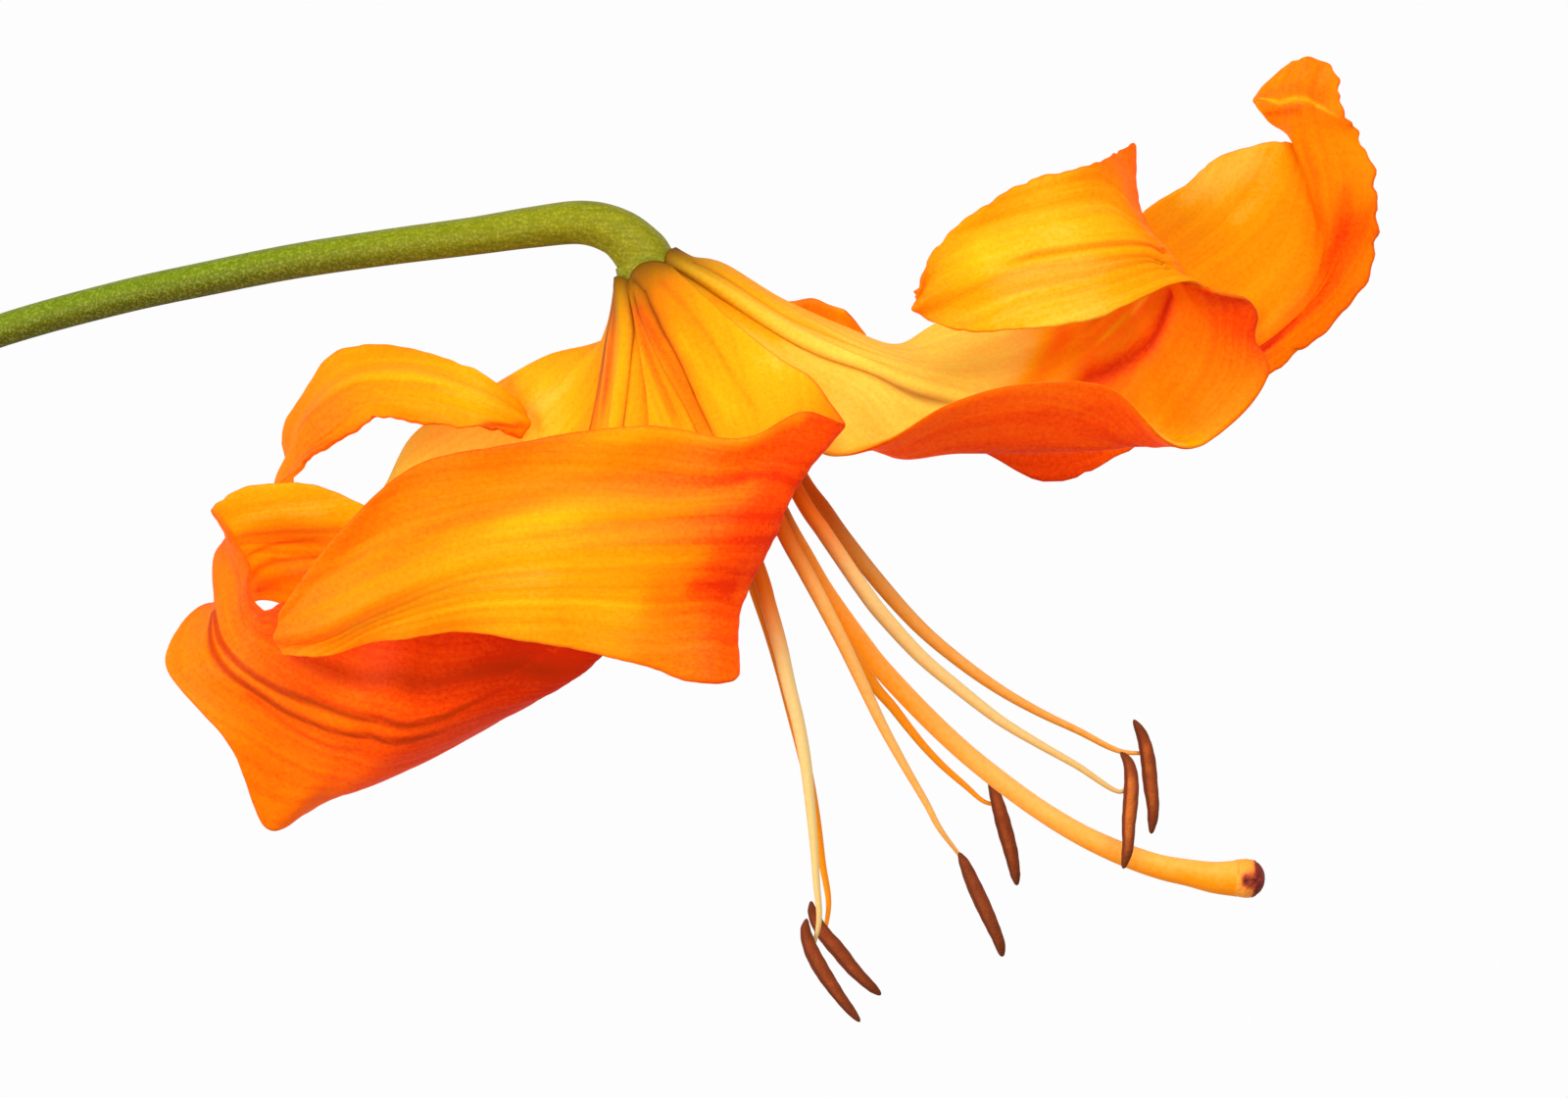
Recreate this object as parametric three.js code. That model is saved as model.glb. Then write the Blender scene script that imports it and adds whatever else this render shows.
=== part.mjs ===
// Tiger lily, one cut flower laid on a surface: a stem (pedicel), six recurved petals (tepals), six
// stamens of a filament and an anther each, and a pistil with its stigma.
//
// Every place below is in millimetres from the receptacle, where stem, petals and stamens meet:
// x runs along the flower's length, y across it, z up from the surface. RECEPTACLE puts that point
// into the part's own frame, whose origin is the middle of the bounding box on the surface.
import * as THREE from 'three';

const RECEPTACLE = [2.10, 30.07, 39.50];
const FLOOR = -RECEPTACLE[2];            // the surface, seen from the receptacle

const PRESSED = 0.25;                    // what comes this close to the surface lies flat on it

const AXIS = [0.439, -0.898, 0];         // the flower's own axis, out of the stem and into the funnel
const ACROSS = [0.898, 0.439, 0];        // azimuth 0 round that axis; azimuth 90 points straight up

const RING_RADIUS = 3.75;                // petals stand in a ring on the receptacle
const RING_SEAT = 0.62;                  // their feet, along the axis
const FOOT_HALF_ANGLE = 25;              // degrees of the ring on each side of a petal's midrib

const MARGIN_THICKNESS = 0.62;
const MIDRIB_THICKNESS = 1.15;
const HALF_BOW = 0.08;                   // belly of each half blade, as a share of its width
const STEPS_PER_STATION = 2;
const STEPS_ACROSS = 12;                 // even, so that one row of points runs down the midrib

const WAVE_LENGTH = 13;                  // ruffle of a petal's margin
const WAVE_HEIGHT = 0.55;

const FILAMENT_RING = 2.15;              // filaments stand in a ring inside the petals
const FILAMENT_SEAT = 0.35;
const FILAMENT_RADII = [0.8, 0.85, 0.78, 0.64, 0.34];
const ANTHER_RADIUS = 1.0;
const TOUCH_GAP = 0.3;                   // clearance between two pieces that touch

// A petal is a list of stations down its length: left margin, midrib, right margin, or with the two
// shoulders between them where a half blade is folded. Its foot comes from its azimuth on the ring.
// leftward is +1 where the azimuth grows towards the left margin; it tells the inner face.
const PETALS = [
  {
    name: 'petal_outer_front', azimuth: 95, leftward: 1, phase: 0.4,
    stations: [
      [[-1.2, -6.8, 7.8], [0.5, -5.9, 8.9], [5.2, -2.0, 7.4]],
      [[-0.2, -13.5, 13.2], [3.7, -12.0, 14.6], [10.2, -6.4, 12.4]],
      [[0.6, -21.0, 18.6], [7.0, -19.0, 20.6], [14.9, -10.1, 17.0]],
      [[3.2, -31.0, 24.0], [10.2, -25.0, 26.0], [18.1, -12.0, 20.5]],
      [[7.5, -41.0, 28.6], [12.8, -28.6, 29.3], [20.2, -14.7, 24.0]],
      [[10.1, -45.4, 32.0], [9.9, -38.2, 31.6], [13.4, -30.0, 31.6], [16.4, -23.9, 29.8],
        [21.5, -17.1, 27.6]],
      [[5.4, -46.1, 34.0], [8.6, -30.3, 35.2], [17.4, -16.1, 31.0]],
      [[-1.1, -44.0, 34.0], [0.2, -30.6, 36.6], [10.0, -18.9, 33.2]],
      [[-9.3, -42.2, 33.2], [-9.8, -31.2, 36.6], [-0.5, -17.5, 34.6]],
      [[-19.7, -40.6, 32.0], [-20.0, -32.6, 35.6], [-13.5, -19.3, 35.0]],
      [[-28.9, -41.4, 30.2], [-29.6, -36.4, 33.4], [-25.4, -21.9, 34.0]],
      [[-35.4, -43.0, 28.8], [-36.3, -39.7, 30.6], [-34.2, -29.2, 32.0]],
      [[-40.6, -43.0, 27.4], [-41.6, -41.1, 27.8], [-40.9, -38.7, 28.8]],
    ],
  },
  {
    name: 'petal_inner_left', azimuth: 155, leftward: 1, phase: 2.1,
    stations: [
      [[-4.6, -7.6, -0.9], [-3.1, -7.0, 4.2], [-0.3, -6.0, 6.3]],
      [[-6.6, -18.3, -1.2], [-3.6, -17.6, 9.8], [1.8, -16.0, 13.6]],
      [[-11.0, -32.0, -0.6], [-5.6, -32.5, 14.8], [3.0, -29.5, 20.4]],
      [[-16.5, -44.0, 0.0], [-14.0, -46.2, 8.6], [-9.4, -45.3, 16.6], [-6.0, -43.6, 20.4],
        [-0.4, -37.5, 23.4]],
      [[-26.0, -52.0, 1.5], [-22.0, -53.0, 10.0], [-18.8, -49.6, 18.0], [-14.8, -43.0, 21.0],
        [-10.0, -36.5, 23.5]],
      [[-35.5, -58.4, 5.0], [-31.0, -57.2, 12.0], [-27.0, -51.8, 18.5], [-23.4, -44.0, 20.8],
        [-20.0, -36.0, 22.5]],
      [[-39.0, -60.6, 7.5], [-34.9, -56.6, 13.0], [-30.7, -50.9, 18.2], [-27.2, -43.6, 21.0],
        [-25.6, -36.3, 22.0]],
      [[-42.9, -62.4, 10.0], [-34.6, -50.0, 18.0], [-31.0, -36.5, 21.5]],
      [[-47.1, -52.5, 13.0], [-41.0, -47.0, 16.6], [-39.5, -37.0, 19.0]],
      [[-54.3, -44.1, 9.0], [-50.0, -44.0, 13.0], [-46.4, -42.4, 14.4], [-44.8, -40.0, 15.6],
        [-43.2, -37.8, 16.4]],
      [[-49.7, -38.0, 2.0], [-48.0, -37.1, 8.4], [-45.0, -33.4, 12.4]],
      [[-45.6, -37.8, -4.0], [-48.2, -32.3, 1.6], [-46.7, -29.1, 8.4]],
      [[-43.0, -37.0, -7.0], [-45.6, -31.1, -3.6], [-49.3, -26.9, 2.6]],
      [[-38.0, -37.8, -9.0], [-41.0, -31.0, -6.6], [-45.0, -24.4, -1.6]],
      [[-32.0, -37.0, -8.4], [-34.5, -31.2, -6.6], [-37.6, -24.0, -3.0]],
      [[-28.0, -34.4, -6.4], [-28.0, -31.4, -5.6], [-29.6, -27.6, -4.0]],
    ],
  },
  {
    name: 'petal_outer_left', azimuth: 215, leftward: -1, phase: 1.3,
    stations: [
      [[-3.9, -8.6, -4.2], [-4.6, -7.4, -7.0], [-4.2, -7.4, -9.4]],
      [[-5.0, -18.6, -9.0], [-8.6, -14.4, -13.4], [-11.3, -9.3, -16.0]],
      [[-10.5, -28.6, -13.6], [-16.4, -21.6, -20.4], [-18.0, -12.9, -22.6]],
      [[-21.6, -35.4, -18.2], [-25.6, -27.0, -27.0], [-26.5, -18.0, -29.4]],
      [[-33.0, -36.4, -21.6], [-33.4, -30.0, -32.0], [-31.3, -26.2, -37.8]],
      [[-40.0, -31.0, -23.0], [-39.3, -28.2, -32.6], [-36.8, -27.8, -40.0]],
      [[-42.0, -25.6, -22.0], [-42.0, -24.6, -29.4], [-41.0, -24.6, -38.6]],
      [[-39.4, -21.4, -19.0], [-40.5, -20.5, -24.0], [-41.1, -19.7, -31.0]],
      [[-36.0, -20.0, -16.6], [-38.0, -16.4, -19.6], [-40.7, -15.6, -26.0]],
      [[-31.2, -16.4, -14.4], [-33.4, -12.8, -16.6], [-35.6, -9.4, -22.4]],
      [[-26.0, -17.2, -13.4], [-26.6, -12.4, -14.8], [-27.2, -8.4, -20.0]],
      [[-19.8, -17.4, -13.8], [-19.6, -14.2, -14.4], [-19.6, -11.5, -18.2]],
      [[-14.4, -18.8, -15.0], [-13.4, -17.2, -15.6], [-14.0, -14.8, -17.6]],
    ],
  },
  {
    name: 'petal_inner_back', azimuth: 275, leftward: -1, phase: 0.9,
    stations: [
      [[-2.4, -7.6, -8.6], [0.6, -5.6, -9.6], [4.4, -3.0, -8.4]],
      [[-5.0, -19.0, -16.4], [2.2, -15.0, -18.6], [9.0, -10.0, -14.6]],
      [[-6.0, -31.0, -23.0], [4.0, -24.6, -27.0], [12.4, -17.0, -22.0]],
      [[-4.0, -40.0, -28.0], [5.6, -31.6, -34.0], [13.4, -21.0, -28.6]],
      [[1.0, -41.5, -33.4], [8.0, -32.6, -38.0], [14.6, -20.0, -33.6]],
      [[5.0, -36.5, -36.8], [10.6, -28.0, -39.6], [17.4, -17.6, -37.2]],
      [[8.6, -28.0, -38.0], [13.4, -21.0, -39.5], [19.8, -13.4, -38.0]],
      [[11.2, -18.6, -37.8], [16.0, -13.6, -38.6], [22.6, -10.4, -37.6]],
      [[12.4, -9.0, -36.4], [18.0, -7.4, -36.8], [24.7, -7.7, -36.4]],
      [[14.0, -3.2, -35.2], [18.4, -2.8, -35.2], [22.1, -4.0, -35.2]],
    ],
  },
  {
    name: 'petal_inner_right', azimuth: 35, leftward: -1, phase: 1.7,
    stations: [
      [[8.1, 0.7, 0.6], [7.6, -1.2, 4.9], [5.6, -3.6, 6.0]],
      [[14.8, -3.3, 1.0], [13.6, -5.2, 7.8], [11.0, -9.0, 11.2]],
      [[22.0, -6.5, 1.6], [19.9, -8.8, 10.6], [15.6, -15.0, 15.4]],
      [[27.6, -8.5, 2.6], [25.7, -11.2, 12.0], [19.7, -20.7, 18.0]],
      [[31.6, -6.4, 3.6], [31.6, -10.0, 8.4], [31.0, -13.1, 12.8], [27.8, -20.4, 14.0],
        [26.6, -19.2, 19.4]],
      [[36.6, -3.0, 5.0], [37.4, -8.6, 9.0], [37.6, -14.4, 12.8], [35.0, -20.3, 13.4],
        [33.6, -15.1, 20.4]],
      [[42.0, 1.2, 6.4], [43.6, -6.0, 9.6], [44.2, -12.8, 12.4], [43.0, -20.2, 13.0],
        [42.4, -12.7, 20.8]],
      [[47.2, 5.6, 8.0], [48.8, -2.4, 10.2], [49.6, -9.8, 12.0], [51.0, -19.8, 12.4],
        [51.0, -13.4, 19.4]],
      [[51.2, 10.0, 11.0], [53.0, 1.8, 12.0], [53.8, -6.0, 12.0], [56.8, -18.4, 11.0],
        [58.2, -18.8, 15.6]],
      [[53.0, 12.5, 13.4], [54.1, 4.6, 13.6], [55.8, -3.8, 13.0], [60.0, -15.4, 11.8],
        [63.3, -18.8, 12.8]],
      [[53.8, 14.0, 15.5], [54.5, 6.8, 15.6], [57.4, -1.4, 14.2], [62.6, -10.4, 12.4],
        [69.2, -12.3, 11.4]],
      [[53.1, 13.3, 17.6], [54.5, 6.5, 17.8], [58.5, 0.2, 16.4], [62.4, -5.2, 14.2],
        [67.7, -7.7, 11.6]],
      [[52.2, 12.8, 19.8], [54.2, 6.0, 20.2], [58.0, 1.4, 19.4], [61.2, -2.6, 16.8],
        [68.0, -4.5, 12.6]],
      [[50.6, 12.1, 21.5], [53.7, 5.9, 21.6], [56.8, 1.7, 20.8], [59.1, -1.0, 19.2],
        [62.9, -3.0, 17.0]],
      [[48.6, 11.3, 22.6], [54.0, 2.7, 22.8], [59.0, -1.6, 20.0]],
      [[42.6, 9.8, 24.2], [47.4, 2.0, 25.0], [50.0, -5.6, 23.2]],
      [[36.6, 6.4, 25.2], [40.4, 0.8, 26.0], [41.6, -6.8, 24.4]],
      [[31.6, 1.6, 25.0], [34.4, -1.6, 25.4], [35.2, -7.0, 24.6]],
      [[30.2, -3.0, 23.8], [29.4, -4.6, 23.8], [31.0, -5.6, 23.8]],
    ],
  },
  {
    name: 'petal_outer_right', azimuth: 335, leftward: -1, phase: 2.8,
    stations: [
      [[7.0, -3.4, -10.0], [7.8, -1.4, -7.2], [8.6, -0.2, -2.6]],
      [[16.0, -11.0, -17.0], [16.2, -7.6, -12.6], [16.4, -4.6, -4.6]],
      [[26.0, -17.0, -23.4], [27.0, -12.6, -18.4], [27.0, -9.6, -7.6]],
      [[37.0, -20.0, -29.0], [39.6, -14.0, -25.0], [38.0, -8.0, -11.4]],
      [[46.0, -23.6, -34.0], [51.0, -13.6, -32.0], [47.1, -2.4, -16.6]],
      [[58.0, -18.0, -37.6], [61.6, -9.8, -37.6], [53.7, 4.4, -21.8]],
      [[69.6, -11.6, -37.8], [70.2, -5.6, -39.2], [59.9, 9.8, -26.6]],
      [[77.8, -5.6, -36.0], [75.4, -0.6, -38.8], [64.7, 13.0, -30.6]],
      [[81.9, 2.2, -33.4], [76.6, 4.2, -36.6], [69.7, 14.9, -33.0]],
      [[82.5, 9.3, -31.0], [75.4, 9.8, -33.4], [73.1, 15.0, -34.6]],
      [[80.3, 15.4, -29.4], [73.8, 14.8, -30.8], [71.1, 17.2, -32.6]],
      [[78.4, 18.2, -29.2], [73.2, 19.4, -29.4], [68.6, 19.2, -30.6]],
      [[78.3, 20.9, -31.4], [73.2, 21.6, -31.6], [69.0, 20.8, -32.6]],
      [[76.9, 24.0, -32.6], [74.7, 24.6, -32.6], [72.8, 24.1, -33.0]],
    ],
  },
];

// Stamens: azimuth of the foot on the ring, the filament's way, the anther's own curve, and the share
// of that curve at which the filament holds it.
const STAMENS = [
  {
    name: 'right_back', azimuth: -25, grip: 0.36,
    filament: [[8.4, -7.2, -1.6], [13.0, -14.9, -3.0], [17.1, -23.2, -4.4], [19.6, -26.7, -4.9],
      [22.0, -30.1, -5.3], [26.2, -35.4, -5.9], [30.6, -40.2, -6.4], [35.1, -44.0, -6.8],
      [39.5, -47.1, -7.1], [43.9, -49.6, -7.4], [48.3, -51.7, -7.6], [52.7, -53.9, -7.8]],
    anther: [[54.5, -50.4, -7.0], [55.5, -52.3, -6.7], [56.1, -54.8, -6.5], [56.4, -57.8, -6.4],
      [56.7, -60.5, -6.6], [56.5, -63.3, -7.0]],
  },
  {
    name: 'right_front', azimuth: 35, grip: 0.35,
    filament: [[6.6, -7.5, 3.6], [12.1, -16.2, 8.0], [17.1, -25.6, 11.0], [19.6, -29.3, 12.0],
      [21.7, -32.4, 12.6], [23.9, -35.6, 13.2], [26.1, -38.5, 13.6], [30.4, -43.2, 14.0],
      [34.8, -46.9, 14.2], [39.2, -50.3, 14.2], [43.6, -53.0, 14.0], [48.0, -55.5, 13.4],
      [52.4, -58.3, 12.4]],
    anther: [[52.8, -53.9, 12.6], [53.7, -55.2, 12.8], [54.0, -57.1, 13.0], [53.9, -59.6, 13.0],
      [53.7, -61.9, 12.8], [53.6, -64.6, 12.5], [53.1, -67.0, 12.2]],
  },
  {
    name: 'front', azimuth: 95, grip: 0.08,
    filament: [[4.9, -8.6, 6.4], [10.4, -19.1, 11.0], [15.1, -29.2, 13.6], [17.5, -33.6, 14.4],
      [19.7, -37.7, 15.0], [21.9, -42.0, 15.3], [24.0, -46.4, 15.5], [26.1, -50.8, 15.6],
      [28.5, -55.2, 15.6], [31.0, -59.5, 15.3], [32.6, -62.5, 15.0]],
    anther: [[34.7, -65.1, 14.8], [35.4, -66.5, 14.9], [36.3, -68.6, 14.9], [37.4, -71.0, 14.8],
      [38.4, -73.2, 14.5], [39.2, -75.1, 14.1], [39.6, -76.8, 13.6]],
  },
  {
    name: 'left_front', azimuth: 155, grip: 0.35,
    filament: [[3.0, -9.6, 4.6], [7.8, -22.2, 9.4], [12.2, -33.3, 12.2], [13.5, -37.7, 12.9],
      [14.7, -42.0, 13.5], [15.7, -46.4, 13.9], [16.8, -50.8, 14.2], [17.6, -55.2, 14.4],
      [18.1, -59.6, 14.4], [18.5, -63.9, 14.3], [18.8, -68.3, 14.1], [19.1, -72.7, 13.6]],
    anther: [[17.7, -72.5, 13.0], [17.6, -74.0, 13.2], [18.2, -76.0, 13.4], [19.3, -78.1, 13.4],
      [20.6, -80.1, 13.3], [21.9, -81.9, 13.1], [23.7, -84.1, 12.8]],
  },
  {
    name: 'left_back', azimuth: 215, grip: 0.35,
    filament: [[2.8, -10.0, -2.6], [7.1, -22.5, -5.2], [10.9, -31.9, -6.4], [12.1, -35.7, -6.8],
      [13.6, -40.1, -7.2], [14.9, -44.6, -7.5], [16.0, -49.0, -7.7], [17.1, -53.4, -7.9],
      [18.1, -57.8, -8.0], [18.9, -62.2, -8.0], [19.5, -66.6, -8.0], [20.2, -71.0, -8.0]],
    anther: [[18.2, -70.8, -6.6], [18.5, -72.4, -6.3], [19.6, -74.4, -6.0], [21.3, -76.4, -5.8],
      [22.9, -78.4, -5.9], [24.6, -80.1, -6.1], [26.1, -81.4, -6.4]],
  },
  {
    name: 'back', azimuth: 275, grip: 0.3,
    filament: [[5.4, -10.0, -5.0], [11.5, -21.1, -7.4], [16.9, -31.6, -8.6], [21.0, -39.3, -9.0],
      [23.7, -43.9, -9.1], [25.5, -46.8, -9.2], [27.4, -49.0, -9.2], [29.1, -51.2, -9.2],
      [30.9, -53.4, -9.2], [33.0, -55.6, -9.1], [35.5, -57.8, -8.9], [37.6, -59.6, -8.6]],
    anther: [[38.3, -56.9, -7.2], [38.8, -58.4, -6.9], [39.4, -60.5, -6.7], [40.0, -62.7, -6.6],
      [40.7, -65.3, -6.7], [41.1, -67.3, -6.9], [41.4, -69.1, -7.2]],
  },
];

const PISTIL = [[3.6, -6.4, 0.8], [7.4, -13.0, 2.0], [11.3, -20.4, 3.2], [15.2, -28.2, 4.2],
  [17.4, -32.0, 4.6], [19.5, -35.6, 4.9], [21.7, -38.8, 5.1], [23.9, -41.8, 5.3],
  [26.1, -44.6, 5.4], [30.5, -49.3, 5.6], [34.9, -53.5, 5.6], [39.3, -57.1, 5.6],
  [43.7, -60.3, 5.5], [48.1, -63.0, 5.3], [52.5, -65.1, 5.0], [56.9, -66.7, 4.7],
  [60.7, -67.5, 4.4], [63.5, -68.0, 4.2], [66.0, -68.1, 4.0]];
const PISTIL_RADII = [0.95, 1.3, 1.5, 1.3, 1.15, 1.12, 1.1, 1.1, 1.1, 1.1, 1.1, 1.1, 1.12, 1.13, 1.18,
  1.28, 1.36, 1.52, 1.78, 2.05];
const STIGMA_RADIUS = 2.25;
const STIGMA_LENGTH = 3.1;

// The stem comes off the surface at its cut end and bends down into the receptacle.
const PEDICEL = [[-86, -10.8, -37.8], [-72.8, -6.2, -31], [-60, -2.8, -24.2], [-50, -0.7, -18.8],
  [-40, 1.2, -13.6], [-30, 2.65, -8.8], [-20, 3.9, -4.6], [-13, 4.9, -2.2], [-7.4, 5.4, -0.8],
  [-3.5, 4.3, -0.2]];
const PEDICEL_RADII = [1.85, 1.85, 1.88, 1.92, 1.97, 2.03, 2.12, 2.3, 2.45, 2.7];
const RECEPTACLE_NECK = { along: -2.6, radius: 3.0 };
const RECEPTACLE_RIM = { along: -0.05, radius: 4.15 };

const MATERIALS = {
  petal: new THREE.MeshStandardMaterial({ color: 0xff8c10 }),
  stem: new THREE.MeshStandardMaterial({ color: 0x7c9a1e }),
  filament: new THREE.MeshStandardMaterial({ color: 0xe8bc64 }),
  anther: new THREE.MeshStandardMaterial({ color: 0x6a3318 }),
  stigma: new THREE.MeshStandardMaterial({ color: 0x9a4a22 }),
};

const vec = (p) => new THREE.Vector3(...p);
const radians = THREE.MathUtils.degToRad;

/** A height kept off the floor, or put on it where it comes close. */
const laidDown = (z) => (z < FLOOR + PRESSED ? FLOOR : z);

/** A point round the flower's axis, from its place along the axis, radius and azimuth in degrees. */
function aroundAxis(along, radius, azimuth) {
  const a = radians(azimuth);
  return vec(AXIS).multiplyScalar(along)
    .addScaledVector(vec(ACROSS), radius * Math.cos(a))
    .add(new THREE.Vector3(0, 0, radius * Math.sin(a)));
}

/** Catmull-Rom curve through the points; u runs from 0 to 1 over equal shares of the points. */
function curvePoint(points, u) {
  const last = points.length - 1;
  const at = Math.min(u * last, last - 1e-9);
  const i = Math.floor(at);
  const t = at - i;
  const before = i > 0 ? points[i - 1] : points[0].clone().multiplyScalar(2).sub(points[1]);
  const after = i + 2 <= last ? points[i + 2] : points[last].clone().multiplyScalar(2).sub(points[last - 1]);
  const weights = [
    -0.5 * t + t * t - 0.5 * t ** 3,
    1 - 2.5 * t * t + 1.5 * t ** 3,
    0.5 * t + 2 * t * t - 1.5 * t ** 3,
    -0.5 * t * t + 0.5 * t ** 3,
  ];
  return [before, points[i], points[i + 1], after].reduce(
    (sum, point, k) => sum.addScaledVector(point, weights[k]), new THREE.Vector3());
}

/** A petal's five rails: margins, shoulders and midrib, with missing shoulders put in with a bow. */
function petalRails(petal) {
  const foot = [1, 0, -1].map((side) =>
    aroundAxis(RING_SEAT, RING_RADIUS, petal.azimuth + side * petal.leftward * FOOT_HALF_ANGLE));
  const stations = [foot, ...petal.stations.map((station) => station.map(vec))];
  const middles = stations.map((s) => s[(s.length - 1) / 2]);
  const full = stations.map((s, i) => {
    if (s.length === 5) {
      return s;
    }
    const along = middles[Math.min(i + 1, middles.length - 1)].clone().sub(middles[Math.max(i - 1, 0)]);
    const outer = along.cross(s[2].clone().sub(s[0])).normalize().multiplyScalar(petal.leftward);
    const shoulder = (edge) => edge.clone().add(s[1]).multiplyScalar(0.5)
      .addScaledVector(outer, HALF_BOW * edge.distanceTo(s[1]));
    return [s[0], shoulder(s[0]), s[1], shoulder(s[2]), s[2]];
  });
  return [0, 1, 2, 3, 4].map((rail) => full.map((s) => s[rail]));
}

/** Points of a petal's middle surface, rows down the length and columns from margin to margin. */
function petalGrid(petal) {
  const rails = petalRails(petal);
  const rows = (rails[0].length - 1) * STEPS_PER_STATION;
  const grid = [];
  for (let i = 0; i <= rows; i += 1) {
    const section = rails.map((rail) => curvePoint(rail, i / rows));
    const row = [];
    for (let j = 0; j <= STEPS_ACROSS; j += 1) {
      row.push(curvePoint(section, j / STEPS_ACROSS));
    }
    grid.push(row);
  }
  return grid;
}

/** Surface normals of a grid, from its neighbours along and across. */
function gridNormals(grid) {
  const rows = grid.length - 1;
  const columns = grid[0].length - 1;
  return grid.map((row, i) => row.map((point, j) => {
    const along = grid[Math.min(i + 1, rows)][j].clone().sub(grid[Math.max(i - 1, 0)][j]);
    const across = row[Math.min(j + 1, columns)].clone().sub(row[Math.max(j - 1, 0)]);
    return along.cross(across).normalize();
  }));
}

/** Ruffles the margins: a wave along each margin that dies away towards midrib, foot and tip. */
function ruffle(grid, phase) {
  const normals = gridNormals(grid);
  const rows = grid.length - 1;
  const columns = grid[0].length - 1;
  let run = 0;
  for (let i = 0; i <= rows; i += 1) {
    run += i > 0 ? grid[i][columns / 2].distanceTo(grid[i - 1][columns / 2]) : 0;
    const grown = THREE.MathUtils.smoothstep(i / rows, 0.3, 0.5);
    for (let j = 0; j <= columns; j += 1) {
      const side = 2 * j / columns - 1;
      const wave = Math.sin(2 * Math.PI * run / WAVE_LENGTH + phase + (side > 0 ? 1.9 : 0));
      grid[i][j].addScaledVector(normals[i][j], WAVE_HEIGHT * grown * Math.abs(side) ** 3 * wave);
    }
  }
}

/** Closed mesh from two like grids, the second one behind the first, joined round their edge. */
function closedSheet(front, back) {
  const rows = front.length - 1;
  const columns = front[0].length - 1;
  const positions = [];
  [front, back].forEach((grid) => grid.forEach((row) => row.forEach((p) => positions.push(p.x, p.y, p.z))));
  const size = (rows + 1) * (columns + 1);
  const at = (i, j) => i * (columns + 1) + j;
  const faces = [];
  for (let i = 0; i < rows; i += 1) {
    for (let j = 0; j < columns; j += 1) {
      const [a, b, c, d] = [at(i, j), at(i + 1, j), at(i + 1, j + 1), at(i, j + 1)];
      faces.push(a, b, c, a, c, d);
      faces.push(size + a, size + c, size + b, size + a, size + d, size + c);
    }
  }
  const rim = [];
  for (let i = 0; i < rows; i += 1) rim.push([at(i, 0), at(i + 1, 0)]);
  for (let j = 0; j < columns; j += 1) rim.push([at(rows, j), at(rows, j + 1)]);
  for (let i = rows; i > 0; i -= 1) rim.push([at(i, columns), at(i - 1, columns)]);
  for (let j = columns; j > 0; j -= 1) rim.push([at(0, j), at(0, j - 1)]);
  rim.forEach(([a, b]) => faces.push(b, a, size + a, b, size + a, size + b));
  return meshGeometry(positions, faces);
}

function meshGeometry(positions, faces) {
  const geometry = new THREE.BufferGeometry();
  geometry.setAttribute('position', new THREE.Float32BufferAttribute(positions, 3));
  geometry.setIndex(faces);
  return geometry;
}

/** A petal: its middle surface ruffled, kept off the floor, and given its thickness on both faces. */
function petalGeometry(petal) {
  const grid = petalGrid(petal);
  ruffle(grid, petal.phase);
  const columns = grid[0].length - 1;
  const half = (j) => {
    const side = Math.abs(2 * j / columns - 1);
    return 0.5 * THREE.MathUtils.lerp(MIDRIB_THICKNESS, MARGIN_THICKNESS, Math.min(1, side * 1.6));
  };
  grid.forEach((row) => row.forEach((p, j) => {
    p.z = Math.max(p.z, FLOOR + half(j));
  }));
  const normals = gridNormals(grid);
  const face = (sign) => grid.map((row, i) => row.map((p, j) => {
    const moved = p.clone().addScaledVector(normals[i][j], sign * half(j));
    moved.z = laidDown(moved.z);
    return moved;
  }));
  return closedSheet(face(1), face(-1));
}

/** Round tube along a curve, with a radius at every share of its length, closed at both ends. */
function tubeGeometry(points, radii, rings, sides, flatten = 1) {
  const positions = [];
  const faces = [];
  const radiusAt = (u) => {
    const at = Math.min(u * (radii.length - 1), radii.length - 1 - 1e-9);
    const i = Math.floor(at);
    return THREE.MathUtils.lerp(radii[i], radii[i + 1], at - i);
  };
  const centres = [];
  for (let i = 0; i <= rings; i += 1) {
    centres.push(curvePoint(points, i / rings));
  }
  centres.forEach((centre, i) => {
    const along = centres[Math.min(i + 1, rings)].clone().sub(centres[Math.max(i - 1, 0)]).normalize();
    const side = along.clone().cross(new THREE.Vector3(0, 0, 1)).normalize();
    const up = side.clone().cross(along);
    for (let k = 0; k < sides; k += 1) {
      const a = 2 * Math.PI * k / sides;
      const r = radiusAt(i / rings);
      const p = centre.clone().addScaledVector(side, r * Math.cos(a))
        .addScaledVector(up, r * flatten * Math.sin(a));
      positions.push(p.x, p.y, laidDown(p.z));
    }
  });
  for (let i = 0; i < rings; i += 1) {
    for (let k = 0; k < sides; k += 1) {
      const next = (k + 1) % sides;
      const [a, b] = [i * sides + k, i * sides + next];
      faces.push(a, a + sides, b + sides, a, b + sides, b);
    }
  }
  for (let k = 1; k < sides - 1; k += 1) {
    const end = rings * sides;
    faces.push(0, k, k + 1, end, end + k + 1, end + k);
  }
  return meshGeometry(positions, faces);
}

const group = new THREE.Group();

function add(name, geometry, material) {
  geometry.translate(...RECEPTACLE);
  const mesh = new THREE.Mesh(geometry, material);
  mesh.name = name;
  group.add(mesh);
}

/** The stem, which widens into the receptacle that carries petals, stamens and pistil. */
function addPedicel() {
  const neck = aroundAxis(RECEPTACLE_NECK.along, 0, 0);
  const rim = aroundAxis(RECEPTACLE_RIM.along, 0, 0);
  const points = [...PEDICEL.map(vec), neck, rim];
  const radii = [...PEDICEL_RADII, RECEPTACLE_NECK.radius, RECEPTACLE_RIM.radius];
  add('pedicel', tubeGeometry(points, radii, 2 * (points.length - 1), 12), MATERIALS.stem);
}

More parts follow.
